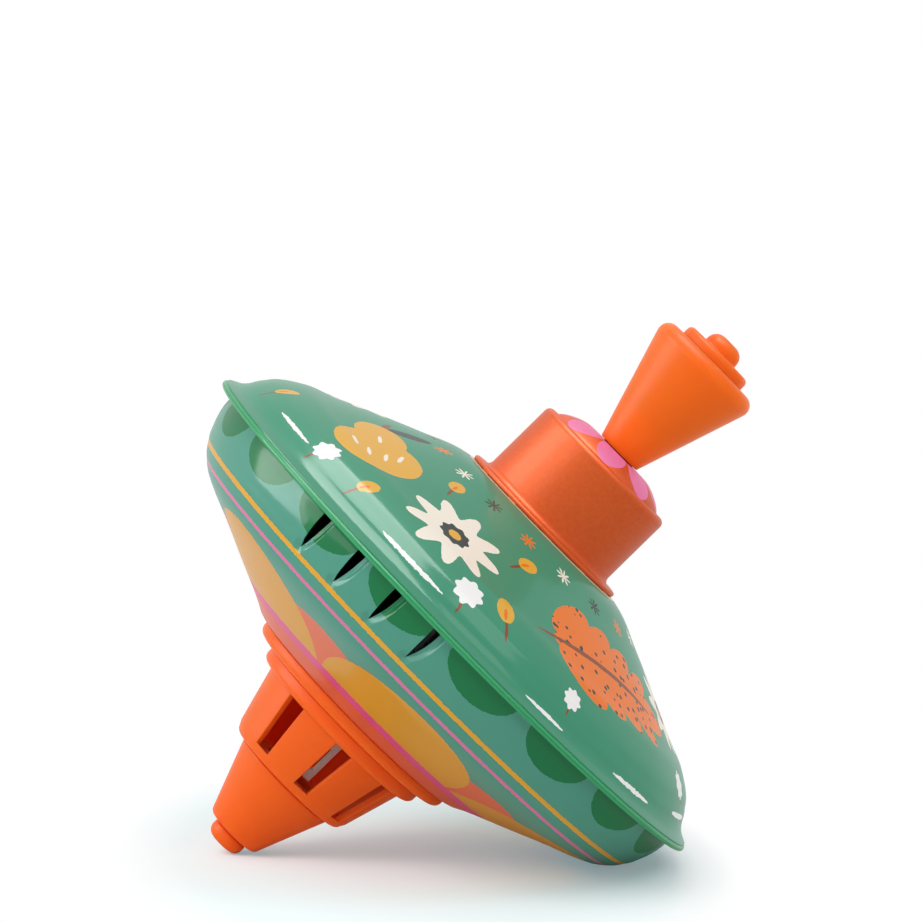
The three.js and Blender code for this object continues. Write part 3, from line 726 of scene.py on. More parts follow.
def printed_upper_tin():
    """Offset-printed and clear-lacquered tinplate: flat inks under a glossy coat."""
    material, tree = new_material("printed_tin_upper")
    place = axis_place(tree)
    drawn = jittered(tree, place, *UPPER_INK_EDGE)
    x, y, z = node(tree, "SeparateXYZ", {"Vector": drawn}, ("X", "Y", "Z"))
    azimuth = azimuth_of(tree, x, y)
    sign = node(tree, "Math", {0: y}, operation="SIGN")
    side = node(tree, "Math", {0: sign, 1: -1}, operation="MULTIPLY")
    half_turn = node(tree, "CombineXYZ", {"X": side, "Y": side, "Z": 1.0})
    front = node(tree, "VectorMath", {0: drawn, 1: half_turn}, operation="MULTIPLY")
    cloud = node(tree, "TexNoise", {"Vector": place, "Scale": 0.025, "Detail": 2})
    flat_radius = radius_of(tree, x, y)
    layers = [(cloud, "#449676")] + blossom_layers(tree, azimuth, flat_radius)
    for middle, radius, length in RIM_ARCS:
        flat = repeated(tree, azimuth, flat_radius, middle, 180)
        rim_arc = inside_oval(tree, flat, (0, radius), (length / 2, RIM_ARC_HALF_WIDTH))
        layers.append((rim_arc, WHITE))
    for placed, drawing in (
        (PEARS, pear_layers), (DAISIES, daisy_layers), (LEAVES, leaf_layers), (BUDS, bud_layers),
        (CLOVERS, clover_layers),
    ):
        for around, radius, turn, size in placed:
            layers += drawing(tree, on_shoulder(tree, front, around, radius, turn, size))
    seat_edge = cap_flange_radius + CAP_SEAT_RING
    by_cap = node(tree, "Math", {0: flat_radius, 1: seat_edge}, operation="LESS_THAN")
    on_hem = node(tree, "Math", {0: z, 1: hem_top + HEM_PRINT_OVER}, operation="LESS_THAN")
    layers += [(by_cap, "#D8D2B4"), (on_hem, "#36A268")]
    for share in HEM_LINES:
        height = hem_base + share * HEM_THICKNESS
        on_line = node(tree, "Math", {0: z, 1: height, 2: HEM_LINE_WIDTH / 2}, operation="COMPARE")
        layers.append((on_line, "#2A8052"))
    colour = inked(tree, linear("#388D6D"), layers)
    surface = node(tree, "BsdfPrincipled", {"Base Color": colour, **PRINT_GLOSS})
    node(tree, "OutputMaterial", {"Surface": surface})
    return material


PETAL_COUNT = 8
PETAL_MIDDLE = 12.2
PETAL_HALF_SIZES = (20.5, 8.2)
PETAL_BELOW_SHOULDER = 1
FIRST_PETAL = FRONT - 4


def lacquered_tin():
    """Tinplate under transparent orange lacquer, with pink petals printed on the dome."""
    material, tree = new_material("orange_lacquer")
    place = axis_place(tree)
    x, y, z = node(tree, "SeparateXYZ", {"Vector": place}, ("X", "Y", "Z"))
    radius = radius_of(tree, x, y)
    flat = repeated(tree, azimuth_of(tree, x, y), radius, FIRST_PETAL, 360 / PETAL_COUNT)
    petal = inside_oval(tree, flat, (0, PETAL_MIDDLE), PETAL_HALF_SIZES)
    print_base = cap_base + CAP_SHOULDER_HEIGHT - PETAL_BELOW_SHOULDER
    on_dome = node(tree, "Math", {0: z, 1: print_base}, operation="GREATER_THAN")
    petal = node(tree, "Math", {0: petal, 1: on_dome}, operation="MULTIPLY")
    grain = node(tree, "TexNoise", {"Vector": place, "Scale": 0.9, "Detail": 3})
    colour = inked(tree, linear("#C34A14"), [(grain, "#D65E24"), (petal, "#EC7AAE")])
    metal = node(tree, "MapRange", {"Value": petal, "To Min": 0.25, "To Max": 0.0})
    surface = node(tree, "BsdfPrincipled", {
        "Base Color": colour, "Metallic": metal, "Roughness": 0.5,
        "Specular IOR Level": 0.15, "Coat Weight": 0.12, "Coat Roughness": 0.2, "Coat IOR": 1.5,
    })
    node(tree, "OutputMaterial", {"Surface": surface})
    return material


# Foot

def cone_outline():
    """The lower cone of the foot, with the tip's socket, and the spigot that the housing sits on."""
    slope = (cone_radius - CONE_BOTTOM_RADIUS) / (cone_top - cone_base)
    floor = cone_base + CONE_FLOOR
    inner_radius = CONE_BOTTOM_RADIUS + slope * CONE_FLOOR - CONE_WALL
    socket_radius = TIP_STEM_RADIUS + SEAT_GAP
    socket_top = tip_top + SEAT_GAP
    return [
        (0, socket_top),
        (socket_radius, socket_top),
        (socket_radius, cone_base),
        *lower_corner(CONE_BOTTOM_RADIUS, cone_base, CONE_CORNER, CONE_LEAN, 8),
        *upper_corner(cone_radius, cone_top, CONE_TOP_CORNER, CONE_LEAN, 5),
        (SPIGOT_RADIUS, cone_top),
        (SPIGOT_RADIUS, spigot_top),
        (SPIGOT_RADIUS - CONE_WALL, spigot_top),
        (inner_radius, floor),
        (0, floor),
    ]


def tip_outline():
    """The nub that the top spins on, and its stem."""
    return [
        (0, 0),
        *lower_corner(tip_radius, 0, TIP_CORNER, steps=10),
        *upper_corner(tip_radius, TIP_HEIGHT, TIP_TOP_CORNER, steps=4),
        (TIP_STEM_RADIUS, TIP_HEIGHT),
        (TIP_STEM_RADIUS, tip_top),
        (0, tip_top),
    ]


def cut_windows(bm, low, high):
    """Opens the housing's windows through both its walls and joins the walls round each."""
    first = FIRST_WINDOW - WINDOW_DEGREES / 2

    def in_window(place):
        """Whether a place of the wall lies in a window's opening."""
        past = azimuth_past(place, first) % (360 / WINDOW_GROUPS)
        in_group = past < WINDOW_PITCH * WINDOWS_IN_GROUP
        return in_group and past % WINDOW_PITCH < WINDOW_DEGREES and low < place.z / MM < high

    opened = [face for face in bm.faces if in_window(face.calc_center_median())]
    bmesh.ops.delete(bm, geom=opened, context="FACES_ONLY")
    loose = [edge for edge in bm.edges if not edge.link_faces]
    bmesh.ops.delete(bm, geom=loose, context="EDGES")
    edges_by_window = {}
    for edge in bm.edges:
        if edge.is_boundary:
            middle = (edge.verts[0].co + edge.verts[1].co) / 2
            past = azimuth_past(middle, FIRST_WINDOW - WINDOW_PITCH / 2)
            edges_by_window.setdefault(int(past // WINDOW_PITCH), []).append(edge)
    rims = []
    for window in sorted(edges_by_window):
        rims += edges_by_window[window]
        bmesh.ops.bridge_loops(bm, edges=edges_by_window[window])
    bmesh.ops.recalc_face_normals(bm, faces=bm.faces)
    bmesh.ops.bevel(
        bm, geom=rims, offset=WINDOW_EDGE * MM, segments=2, profile=0.5, affect="EDGES", material=-1,
    )


def make_housing(plastic):
    """The windowed cone of the foot, its ring, and the neck that goes into the lower shell."""
    ring_base = housing_top - RING_HEIGHT
    floor_top = housing_base + HOUSING_FLOOR
    deck_base = housing_top - HOUSING_DECK
    sill = floor_top + WINDOW_SILL
    lintel = ring_base - WINDOW_LINTEL
    slope = (HOUSING_TOP_RADIUS - HOUSING_BOTTOM_RADIUS) / (ring_base - housing_base)
    inner_top = HOUSING_TOP_RADIUS - HOUSING_WALL
    levels = (sill, (sill + lintel) / 2, lintel)
    outer = [(HOUSING_TOP_RADIUS - slope * (ring_base - z), z) for z in levels]
    inner = [(radius - HOUSING_WALL, z) for radius, z in reversed(outer)]
    spigot_hole = SPIGOT_RADIUS + SEAT_GAP
    outline = [
        (spigot_hole, housing_base),
        *lower_corner(HOUSING_BOTTOM_RADIUS, housing_base, HOUSING_CORNER, HOUSING_LEAN),
        *outer,
        (HOUSING_TOP_RADIUS, ring_base),
        *lower_corner(ring_radius, ring_base, RING_CORNER),
        *upper_corner(ring_radius, housing_top, RING_TOP_CORNER, steps=3),
        (NECK_RADIUS, housing_top),
        (NECK_RADIUS, neck_top),
        (TUBE_SOCKET_RADIUS, neck_top),
        (TUBE_SOCKET_RADIUS, housing_top),
        (THROAT_RADIUS, housing_top),
        (THROAT_RADIUS, deck_base),
        (inner_top, deck_base),
        *inner,
        (inner[-1][0], floor_top),
        (spigot_hole, floor_top),
    ]
    sectors = [(WINDOW_DEGREES, WINDOW_COLUMNS), (WINDOW_PITCH - WINDOW_DEGREES, PIER_COLUMNS)]
    sectors *= 360 // WINDOW_PITCH
    bm = turned_in_sectors(outline, sectors, FIRST_WINDOW - WINDOW_DEGREES / 2, closed=True)
    cut_windows(bm, sill, lintel)
    make_piece("housing", bm, "top_body", [plastic], "foot_housing")


def flange_outline():
    """The wider ring between the housing and the lower shell."""
    hole = NECK_RADIUS + SEAT_GAP
    return [
        (hole, flange_base),
        *lower_corner(flange_radius, flange_base, FLANGE_CORNER, steps=8),
        *upper_corner(flange_radius, flange_top, FLANGE_TOP_CORNER, steps=3),
        (hole, flange_top),
    ]


# Shells

def shares_to_line(shares, start, run, base, rise):
    """Points [radius, height] from shares of a run in radius and of a rise in height."""
    return [(start + reach * run, base + share * rise) for reach, share in shares]


belly_line = curve_through([
    (SHELL_FOOT_RADIUS, shell_base),
    *shares_to_line(
        LOWER_SHELL_SHARES, SHELL_FOOT_RADIUS, BELLY_RADIUS - SHELL_FOOT_RADIUS,
        shell_base, lower_flange_z - shell_base,
    ),
])
hem_top = hem_base + HEM_THICKNESS
shoulder_line = curve_through([
    *shares_to_line(
        UPPER_SHELL_SHARES, LANDING_RADIUS, rim_radius - LANDING_RADIUS, hem_top, shell_top - hem_top,
    ),
    (LANDING_RADIUS - LANDING_RUN_IN, shell_top),
])
shoulder_heights = shoulder_line[::-1]
slot_top = lower_flange_z - SLOT_BELOW_RIM


def dent_depth(past, below, beside):
    """How far the tin is pressed in beside a slot, or round its lower end."""
    share = min(max(below / SLOT_LENGTH, 0), 1)
    beside = beside and share < 1
    distance = max(past, 0) if beside else math.hypot(past, below - SLOT_LENGTH)
    reach = value_at(DENT_WIDTHS, share) if beside else DENT_END
    left = max(reach - distance, 0)
    wall = min(left / DENT_WALL, 1)
    depth = SLOT_DEPTH + (DENT_END_DEPTH - SLOT_DEPTH) * share if beside else DENT_END_DEPTH
    return depth * (DENT_WALL_SHARE * wall + (1 - DENT_WALL_SHARE) * left / reach)


def press_slot(bm, start):
    """Cuts a whistle slot along its straight edge and its top, and presses the tin in beside it."""
    widest = DENT_WIDTHS[0][1]

    def measures(place):
        """How far a place lies past the slot's straight edge and below its top, in mm."""
        degrees = (azimuth_past(place, start) + 180) % 360 - 180
        return math.radians(degrees) * place.xy.length / MM, slot_top - place.z / MM

    def by_slot(place):
        """Whether a place lies in the stretch of tin that the slot bends."""
        past, below = measures(place)
        return -DENT_END < past < widest and -HAIR < below < SLOT_LENGTH + DENT_END

    near = [vert for vert in bm.verts if by_slot(vert.co)]
    cuts = []
    for edge in {edge for vert in near for edge in vert.link_edges}:
        ends = [measures(end.co) for end in edge.verts]
        along_edge = all(abs(past) < HAIR and -HAIR < below < SLOT_LENGTH + HAIR for past, below in ends)
        along_top = all(-HAIR < past < widest and abs(below) < HAIR for past, below in ends)
        if along_edge or along_top:
            cuts.append(edge)
    bmesh.ops.split_edges(bm, edges=sorted(cuts, key=lambda edge: edge.index))
    moves = []
    for vert in bm.verts:
        if not by_slot(vert.co):
            continue
        past, below = measures(vert.co)
        middles = [measures(face.calc_center_median()) for face in vert.link_faces]
        if min(middle_below for _, middle_below in middles) < 0:
            continue
        beside = min(middle_past for middle_past, _ in middles) > 0
        bend = max(1 - past / widest, 0) if beside else 0
        share = min(below / SLOT_LENGTH, 1)
        opening = SLOT_WIDTH * (1 - share ** SLOT_TAPER) * bend
        moves.append((vert, dent_depth(past, below, beside), opening))
    for vert, depth, opening in moves:
        outward = vert.co.xy.normalized().to_3d()
        onward = Vector((-outward.y, outward.x, 0))
        vert.co += (onward * opening - outward * depth) * MM


def make_lower_shell(print_coat, bare_tin):
    """The lower shell, with finer rows and columns where the slots are pressed in."""
    slot_rows = [slot_top - SLOT_LENGTH * row / SLOT_ROWS for row in range(SLOT_ROWS, -1, -1)]
    dent_rows = [slot_rows[0] - DENT_END * row / DENT_END_ROWS for row in range(DENT_END_ROWS, 0, -1)]
    rows = dent_rows + slot_rows
    belly_rows = [z for _, z in belly_line[1:] if z < rows[0] - LEAST_ROW_GAP]
    corner = lower_flange_z - RIM_FILLET
    wall = belly_line[:-1] + arc(BELLY_RADIUS + RIM_FILLET, corner, RIM_FILLET, 180, 90, 12)
    radii = [(z, radius) for radius, z in wall]
    outline = [
        (NECK_RADIUS + SEAT_GAP, shell_base),
        (SHELL_FOOT_RADIUS - SHELL_FOOT_CORNER, shell_base),
        *[(value_at(radii, z), z) for z in belly_rows[::BELLY_ROW_STEP] + rows],
        *[place for place in wall if place[1] > slot_top + HAIR],
        (rim_radius - HEM_THICKNESS / 2, lower_flange_z),
    ]
    before = DENT_BEFORE_COLUMNS * SLOT_PITCH / SLOT_COLUMNS
    rest = 360 / SLOT_GROUPS - SLOT_PITCH * SLOTS_IN_GROUP - before
    slot_sectors = [(before, DENT_BEFORE_COLUMNS)] + [(SLOT_PITCH, SLOT_COLUMNS)] * SLOTS_IN_GROUP
    sectors = slot_sectors + [(rest, round(rest / DEGREES_IN_COLUMN))]
    bm = turned_in_sectors(outline, sectors * SLOT_GROUPS, FIRST_SLOT - before)
    for group_index in range(SLOT_GROUPS):
        for slot_index in range(SLOTS_IN_GROUP):
            bm.edges.index_update()
            press_slot(bm, FIRST_SLOT + 360 / SLOT_GROUPS * group_index + SLOT_PITCH * slot_index)
    wall_inwards(bm, TIN_WALL)
    make_piece("lower_tin", bm, "top_body", [print_coat, bare_tin], "lower_shell")


def make_upper_shell(print_coat, bare_tin):
    """The upper shell, with its folded hem, and slits for the cap's tabs."""
    fold = HEM_THICKNESS / 2
    slit_outer = tab_outer + HAIR
    slit_inner = tab_inner - SEAT_GAP
    outline = [
        (rim_radius - fold - HEM_REACH, hem_base),
        *arc(rim_radius - fold, hem_base + fold, fold, -90, 80, 10),
        *[place for place in shoulder_line if place[0] > slit_outer],
        (slit_outer, shell_top),
        (slit_inner, shell_top),
        (CLUTCH_HOLE_RADIUS, shell_top),
    ]
    slit_degrees = math.degrees((TAB_WIDTH + 2 * SEAT_GAP) / cap_flange_radius)
    pitch = 360 / TAB_COUNT
    sectors = [(slit_degrees, SLIT_COLUMNS), (pitch - slit_degrees, BETWEEN_SLITS_COLUMNS)] * TAB_COUNT
    first = FIRST_TAB - slit_degrees / 2
    bm = turned_in_sectors(outline, sectors, first)
    slits = []
    for face in bm.faces:
        middle = face.calc_center_median()
        between = slit_inner < middle.xy.length / MM < slit_outer
        if between and azimuth_past(middle, first) % pitch < slit_degrees:
            slits.append(face)
    bmesh.ops.delete(bm, geom=slits, context="FACES")
    wall_inwards(bm, TIN_WALL)
    make_piece("upper_tin", bm, "top_body", [print_coat, bare_tin], "upper_shell")


# Cap

def make_cap(lacquer):
    """The cap, its flange just over the shell, and the tabs that go through the shell's slits."""
    foot = shell_top + HAIR
    flange_up = foot + CAP_FLANGE
    shoulder_z = cap_base + CAP_SHOULDER_HEIGHT
    fillet = CAP_FLANGE_FILLET
    bush_hole = bush_radius + SEAT_GAP
    dome = curve_through([
        (DOME_RADIUS, shoulder_z),
        (DOME_RADIUS - DOME_EDGE, shoulder_z + DOME_EDGE),
        (DOME_TOP_RADIUS + DOME_BEND_OUT, dome_top - DOME_BEND_DROP),
        (DOME_TOP_RADIUS, dome_top - DOME_TOP_DROP),
        (bush_hole, dome_top),
    ])
    inside = [(max(radius - CAP_WALL / 2, bush_hole), z - CAP_WALL) for radius, z in reversed(dome)]
    edge = CAP_FLANGE / 2
    outline = [
        *arc(cap_flange_radius - edge, foot + edge, edge, -90, 90, 8),
        *arc(CAP_RADIUS + fillet, flange_up + fillet, fillet, 270, 180, 8),
        *upper_corner(CAP_RADIUS, shoulder_z, CAP_SHOULDER_CORNER, steps=10),
        *dome,
        *inside,
        (CAP_RADIUS - CAP_SHOULDER_CORNER, shoulder_z - CAP_WALL),
        (CAP_RADIUS - CAP_WALL, shoulder_z - CAP_SHOULDER_CORNER),
        (CAP_RADIUS - CAP_WALL, foot),
    ]
    bm = turned(outline)
    height = cap_base + edge - tab_bottom
    size = Matrix.Diagonal((TAB_THICKNESS * MM, TAB_WIDTH * MM, height * MM, 1))
    middle = Vector(((tab_outer + tab_inner) / 2, 0, tab_bottom + height / 2)) * MM
    for index in range(TAB_COUNT):
        turn = Matrix.Rotation(math.radians(FIRST_TAB + 360 / TAB_COUNT * index), 4, "Z")
        bmesh.ops.create_cube(bm, size=1, matrix=turn @ Matrix.Translation(middle) @ size)
    make_piece("cap", bm, "top_body", [lacquer], "crown_cap")


# Rod, slider and handle

def make_rod(steel):
    """The rod: a flat strip, straight in the slider and the handle, and twisted between them."""
    bm = bmesh.new()
    size = Matrix.Diagonal((ROD_WIDTH * MM, ROD_THICKNESS * MM, 1, 1))
    bmesh.ops.create_grid(bm, size=0.5, matrix=Matrix.Translation((0, 0, rod_base * MM)) @ size)
    bmesh.ops.bevel(
        bm, geom=bm.verts[:], offset=ROD_CORNER * MM, segments=2, profile=0.5, affect="VERTICES",
        material=-1,
    )
    bmesh.ops.delete(bm, geom=bm.faces[:], context="FACES_ONLY")

    def raised(edges, height):
        """Draws edges up by a height, and gives the edges that this makes."""
        moved = bmesh.ops.extrude_edge_only(bm, edges=edges)["geom"]
        verts = [part for part in moved if isinstance(part, bmesh.types.BMVert)]
        bmesh.ops.translate(bm, verts=verts, vec=(0, 0, height * MM))
        return [part for part in moved if isinstance(part, bmesh.types.BMEdge)]

    loop = raised(bm.edges[:], slider_top - rod_base)
    loop = [edge for edge in loop if all(abs(vert.co.z / MM - slider_top) < HAIR for vert in edge.verts)]
    turns = (handle_base - slider_top) / TWIST_LEAD
    steps = round(turns * STEPS_IN_TWIST)
    verts = list({vert for edge in loop for vert in edge.verts})
    twisted = bmesh.ops.spin(
        bm, geom=verts + loop, cent=CENTRE, axis=UP, angle=math.tau * turns, steps=steps,
        dvec=(0, 0, (handle_base - slider_top) / steps * MM),
    )
    loop = [part for part in twisted["geom_last"] if isinstance(part, bmesh.types.BMEdge)]
    raised(loop, rod_top - handle_base)
    bmesh.ops.remove_doubles(bm, verts=bm.verts, dist=MERGE)
    bmesh.ops.holes_fill(bm, edges=[edge for edge in bm.edges if edge.is_boundary])
    bmesh.ops.recalc_face_normals(bm, faces=bm.faces)
    make_piece("rod", bm, "plunger", [steel], "twist_rod")


def open_through(bm, planes, inside):
    """Cuts along planes, takes out the faces inside, and joins the two holes left."""
    for place, normal in planes:
        bmesh.ops.bisect_plane(
            bm, geom=bm.verts[:] + bm.edges[:] + bm.faces[:], plane_co=place, plane_no=normal,
        )
    opened = [face for face in bm.faces if inside(face.calc_center_median() / MM, face.normal)]
    bmesh.ops.delete(bm, geom=opened, context="FACES_ONLY")
    bmesh.ops.bridge_loops(bm, edges=[edge for edge in bm.edges if edge.is_boundary])


def make_slider(nylon):
    """The slider: a frame with an open middle, and a slit in its top bar for the rod."""
    bm = bmesh.new()
    middle = (slider_base + slider_top) / 2
    size = Matrix.Diagonal((SLIDER_WIDTH * MM, SLIDER_DEPTH * MM, (slider_top - slider_base) * MM, 1))
    bmesh.ops.create_cube(bm, size=1, matrix=Matrix.Translation((0, 0, middle * MM)) @ size)
    half = SLIDER_WIDTH / 2 - SLIDER_SIDE_BAR
    low = slider_base + SLIDER_BOTTOM_BAR
    high = slider_top - SLIDER_TOP_BAR
    sides = [((side * half * MM, 0, 0), (1, 0, 0)) for side in (-1, 1)]
    levels = [((0, 0, height * MM), UP) for height in (low, high)]
    open_through(
        bm, sides + levels,
        lambda place, normal: abs(place.x) < half and low < place.z < high and abs(normal.y) > 0.5,
    )
    slit = ROD_THICKNESS / 2 + SEAT_GAP
    reach = ROD_WIDTH / 2 + SEAT_GAP
    cuts = [((0, side * slit * MM, 0), (0, 1, 0)) for side in (-1, 1)]
    cuts += [((side * reach * MM, 0, 0), (1, 0, 0)) for side in (-1, 1)]
    open_through(
        bm, cuts,
        lambda place, normal: (
            abs(place.x) < reach and abs(place.y) < slit and place.z > high - HAIR and abs(normal.z) > 0.5
        ),
    )
    bmesh.ops.recalc_face_normals(bm, faces=bm.faces)
    bmesh.ops.dissolve_limit(bm, angle_limit=FLAT_RADIANS, verts=bm.verts, edges=bm.edges)
    bmesh.ops.bevel(
        bm, geom=bm.edges[:], offset=SLIDER_EDGE * MM, segments=2, profile=0.5, affect="EDGES",
        material=-1, clamp_overlap=True,
    )
    make_piece("slider", bm, "plunger", [nylon], "rod_end_slider")


def bush_outline():
    """The bush in the dome, with a flange that fills the gap under the handle; the flange's dark nylon is
    painted shade for that gap.
    """
    low = dome_top + HAIR
    high = dome_top + HANDLE_GAP - HAIR
    return [
        (bush_bore, bush_base), (bush_radius, bush_base), (bush_radius, low),
        (bush_flange_radius, low), (bush_flange_radius, high), (bush_bore, high),
    ]


def handle_outline():
    """The tapered grip, with a pocket for the end cap's plug."""
    bottom = dome_top + HANDLE_GAP
    floor = handle_base + POCKET_FLOOR
    return [
        (0, bottom),
        *lower_corner(HANDLE_BOTTOM_RADIUS, bottom, HANDLE_BOTTOM_CORNER, HANDLE_BOTTOM_LEAN, 5),
        *upper_corner(HANDLE_TOP_RADIUS, handle_top, HANDLE_TOP_CORNER, HANDLE_TOP_LEAN, 12),
        (POCKET_RADIUS, handle_top),
        (POCKET_RADIUS, floor),
        (0, floor),
    ]


def end_cap_outline():
    """The stepped button that closes the grip, and its plug."""
    fillet = BUTTON_FILLET
    step_top = handle_top + SEAT_GAP + STEP_HEIGHT
    plug_radius = POCKET_RADIUS - SEAT_GAP
    return [
        (0, plug_base),
        (plug_radius, plug_base),
        (plug_radius, handle_top),
        (step_radius, handle_top),
        *upper_corner(step_radius, step_top, STEP_CORNER, steps=8),
        *arc(BUTTON_RADIUS + fillet, step_top + fillet, fillet, 270, 180, 3),
        *upper_corner(BUTTON_RADIUS, button_top, BUTTON_CORNER, steps=10),
        (0, button_top),
    ]


foot_plastic = moulded_polypropylene("orange_polypropylene_foot", "#FB6A20")
handle_plastic = moulded_polypropylene("orange_polypropylene_handle", "#FF7019")
cap_lacquer = lacquered_tin()
slider_nylon = natural_nylon("natural_nylon", "#FFF6EC")
white_nylon = natural_nylon("white_nylon", "#F0ECE4")
# The bush's near-black nylon is painted shade: it stands for the shade in the gap under the handle.
bush_painted_shade_nylon = nylon_darkened_as_shade("nylon_darkened_as_shade")
steel = zinc_plated_steel("zinc_plated_steel")
inner_tin = bare_tinplate("bare_tinplate")

for name, outline, steps, body, slot, material, node_name in (
    ("tip", tip_outline(), SMALL_STEPS, "top_body", "orange_plastic", foot_plastic, "foot_tip"),
    ("cone", cone_outline(), TURN_STEPS, "top_body", "orange_plastic", foot_plastic, "foot_cone"),
    ("handle", handle_outline(), TURN_STEPS, "plunger", "orange_plastic", handle_plastic, "handle_grip"),
    (
        "end_cap", end_cap_outline(), SMALL_STEPS, "plunger", "orange_plastic", handle_plastic,
        "handle_end_cap",
    ),
    ("flange", flange_outline(), TURN_STEPS, "top_body", "orange_plastic", foot_plastic, "foot_flange"),
    # The bush takes the near-black nylon, as painted shade in the gap under the handle.
    ("bush", bush_outline(), TURN_STEPS, "rod_guide", "nylon", bush_painted_shade_nylon, "guide_bush"),
):
    make_piece(name, turned(outline, steps), body, [material], node_name)
make_housing(foot_plastic)
make_lower_shell(printed_lower_tin(), inner_tin)
make_upper_shell(printed_upper_tin(), inner_tin)
make_cap(cap_lacquer)
make_rod(steel)
make_slider(slider_nylon)

HIDDEN_WORKS = {
    "foot_lock_ring": white_nylon, "clutch_crown": white_nylon, "drive_nut": slider_nylon,
    "core_tube": steel, "thrust_washer": steel, "bush_clip": steel, "slider_rivet": steel,
    "handle_pin": steel,
}
for node_name, material in HIDDEN_WORKS.items():
    frame["nodes"][node_name].material_slots[0].material = material


# Floor, light and camera

FLOOR_REACH = 3
# The oval of paper that keeps its shade, in metres, and where it has faded, in half sizes
SHADE_MIDDLE = (-0.012, 0)
SHADE_HALF_SIZES = (0.072, 0.13)
SHADE_END = 1.25
PAPER = (0.8, 0.8, 0.8, 1)
# Light that keeps the paper's shade pale, by the foot and by the belly, and where one gives way
LIFT_BY_FOOT = (0.14, 0.29, 0.31, 1)
LIFT_BY_BELLY = (0.2, 0.24, 0.26, 1)
LIFT_TURN = (-0.6, 1)
WORLD_LIGHT = 0.72


def background_ray(tree):
    """1 for rays that should see a plain white background."""
    seen = None
    for kind in ("Is Camera Ray", "Is Glossy Ray", "Is Transmission Ray"):
        ray = node(tree, "LightPath", {}, kind)
        seen = ray if seen is None else node(tree, "Math", {0: seen, 1: ray}, operation="MAXIMUM")
    return seen


def paper_floor():
    """Matt white paper that fades into a white background away from the top."""
    material, tree = new_material("white_paper")
    shaded = {
        "Vector": node(tree, "TexCoord", {}, "Object"), "Location": (*SHADE_MIDDLE, 0),
        "Scale": (*SHADE_HALF_SIZES, 1),
    }
    near = node(tree, "Mapping", shaded, vector_type="TEXTURE")
    distance = node(tree, "VectorMath", {0: near}, "Value", operation="LENGTH")
    far = node(tree, "MapRange", {"Value": distance, "From Min": 1, "From Max": SHADE_END})
    fade = node(tree, "Math", {0: far, 1: background_ray(tree)}, operation="MULTIPLY")
    camera = node(tree, "LightPath", {}, "Is Camera Ray")
    paper = node(tree, "BsdfDiffuse", {"Color": PAPER})
    along = node(tree, "SeparateXYZ", {"Vector": near}, "X")
    start, end = LIFT_TURN
    share = node(tree, "MapRange", {"Value": along, "From Min": start, "From Max": end})
    lift = node(tree, "Mix", {0: share, 6: LIFT_BY_FOOT, 7: LIFT_BY_BELLY}, 2, data_type="RGBA")
    glow = node(tree, "Emission", {"Color": lift, "Strength": camera})
    lit = node(tree, "AddShader", {0: paper, 1: glow})
    white = node(tree, "Emission", {"Strength": 1.0})
    mixed = node(tree, "MixShader", {0: fade, 1: lit, 2: white})
    node(tree, "OutputMaterial", {"Surface": mixed})
    return material


def make_floor(height):
    """The sheet of paper that the top lies on."""
    bm = bmesh.new()
    bmesh.ops.create_grid(bm, size=FLOOR_REACH, matrix=Matrix.Translation((0, 0, height)))
    floor = mesh_object("floor", bm, [paper_floor()])
    floor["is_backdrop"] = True


def make_world():
    """Soft light from all round, seen as plain white."""
    world = bpy.data.worlds.new("studio")
    world.use_nodes = True
    tree = world.node_tree
    tree.nodes.clear()
    seen = background_ray(tree)
    strength = node(tree, "MapRange", {"Value": seen, "To Min": WORLD_LIGHT, "To Max": 1.0})
    sky = node(tree, "Background", {"Color": (1, 1, 1, 1), "Strength": strength})
    node(tree, "OutputWorld", {"Surface": sky})
    bpy.context.scene.world = world


TOP_MIDDLE = Vector((0, 0, 0.078))


def make_softbox(name, direction, distance, size, radiance, only_gloss=False, long_way=UP):
    """A softbox of [length, width] that faces the top. Its power follows from how bright its face is."""
    light = bpy.data.lights.new(name, "AREA")
    light.shape = "RECTANGLE"
    light.size, light.size_y = size
    light.energy = radiance * math.pi * light.size * light.size_y
    softbox = scene_object(name, light)
    away = Vector(direction).normalized()
    across = away.cross(Vector(long_way)).normalized()
    facing = Matrix((across.cross(away), across, away)).transposed().to_4x4()
    softbox.matrix_world = Matrix.Translation(TOP_MIDDLE + away * distance) @ facing
    softbox.visible_camera = False
    softbox.visible_diffuse = not only_gloss


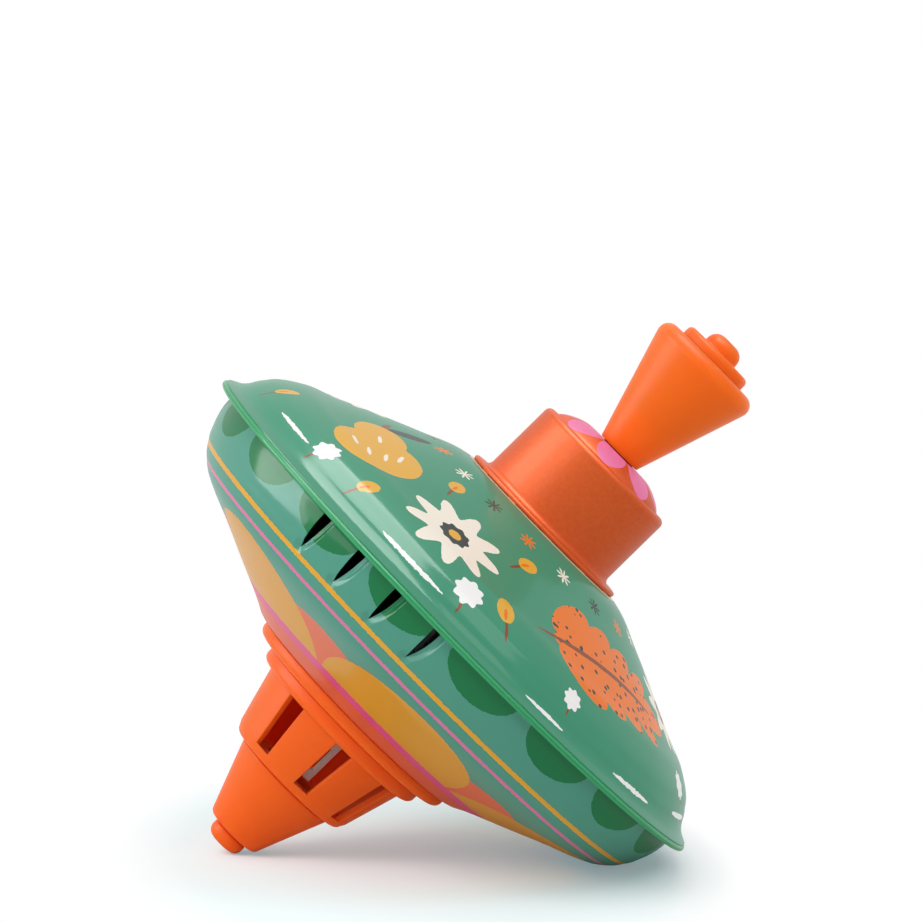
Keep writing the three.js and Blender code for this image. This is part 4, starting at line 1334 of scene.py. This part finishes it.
IMAGE_PIXELS = 922
SENSOR = 36
LENS = 200
CAMERA_DISTANCE = 1.488
CAMERA_TURN = -3.4
CAMERA_RISE = 8
AIM_HEIGHT = 95.7
AIM_PIXEL = (455.2, 613.1)
AXIS_ANGLE = 44.43


def make_camera():
    """Camera that sees the axis at its angle in the photograph, and the rim's middle at its pixel."""
    turn = math.radians(CAMERA_TURN)
    rise = math.radians(CAMERA_RISE)
    back = Vector((math.sin(turn) * math.cos(rise), -math.cos(turn) * math.cos(rise), math.sin(rise)))
    level = Vector(UP).cross(back).normalized()
    above = back.cross(level)
    axis = (laid.to_3x3() @ Vector(UP)).normalized()
    roll = math.atan2(axis.dot(above), axis.dot(level)) - math.radians(AXIS_ANGLE)
    right = level * math.cos(roll) + above * math.sin(roll)
    up = above * math.cos(roll) - level * math.sin(roll)
    facing = Matrix((right, up, back)).transposed()
    pixels = LENS / SENSOR * IMAGE_PIXELS
    half = IMAGE_PIXELS / 2
    towards = Vector(((AIM_PIXEL[0] - half) / pixels, (half - AIM_PIXEL[1]) / pixels, -1))
    offset = towards.rotation_difference(Vector((0, 0, -1))).to_matrix()
    aim = laid @ Vector((0, 0, AIM_HEIGHT * MM))
    data = bpy.data.cameras.new("camera")
    data.lens = LENS
    data.sensor_width = SENSOR
    camera = scene_object("camera", data)
    camera.matrix_world = Matrix.Translation(aim + back * CAMERA_DISTANCE) @ (facing @ offset).to_4x4()
    bpy.context.scene.camera = camera


low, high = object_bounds()
make_floor(low[2])
make_world()
make_softbox("key", direction=(-0.65, -0.41, 0.64), distance=1.1, size=(0.7, 0.7), radiance=3)
make_softbox("fill", direction=(0.7, -0.3, 0.6), distance=1.3, size=(0.5, 0.5), radiance=2.7)
make_softbox(
    "panel_above", direction=(0.2, 0, 0.97), distance=1, size=(0.85, 0.62), radiance=13,
    only_gloss=True, long_way=(0.6, -0.79, -0.12),
)
make_softbox(
    "panel_left", direction=(-0.85, 0.05, 0.52), distance=1, size=(0.6, 0.58), radiance=9,
    only_gloss=True, long_way=(0, 1, 0),
)
make_camera()
bpy.context.scene.view_settings.view_transform = "Standard"

low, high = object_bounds()
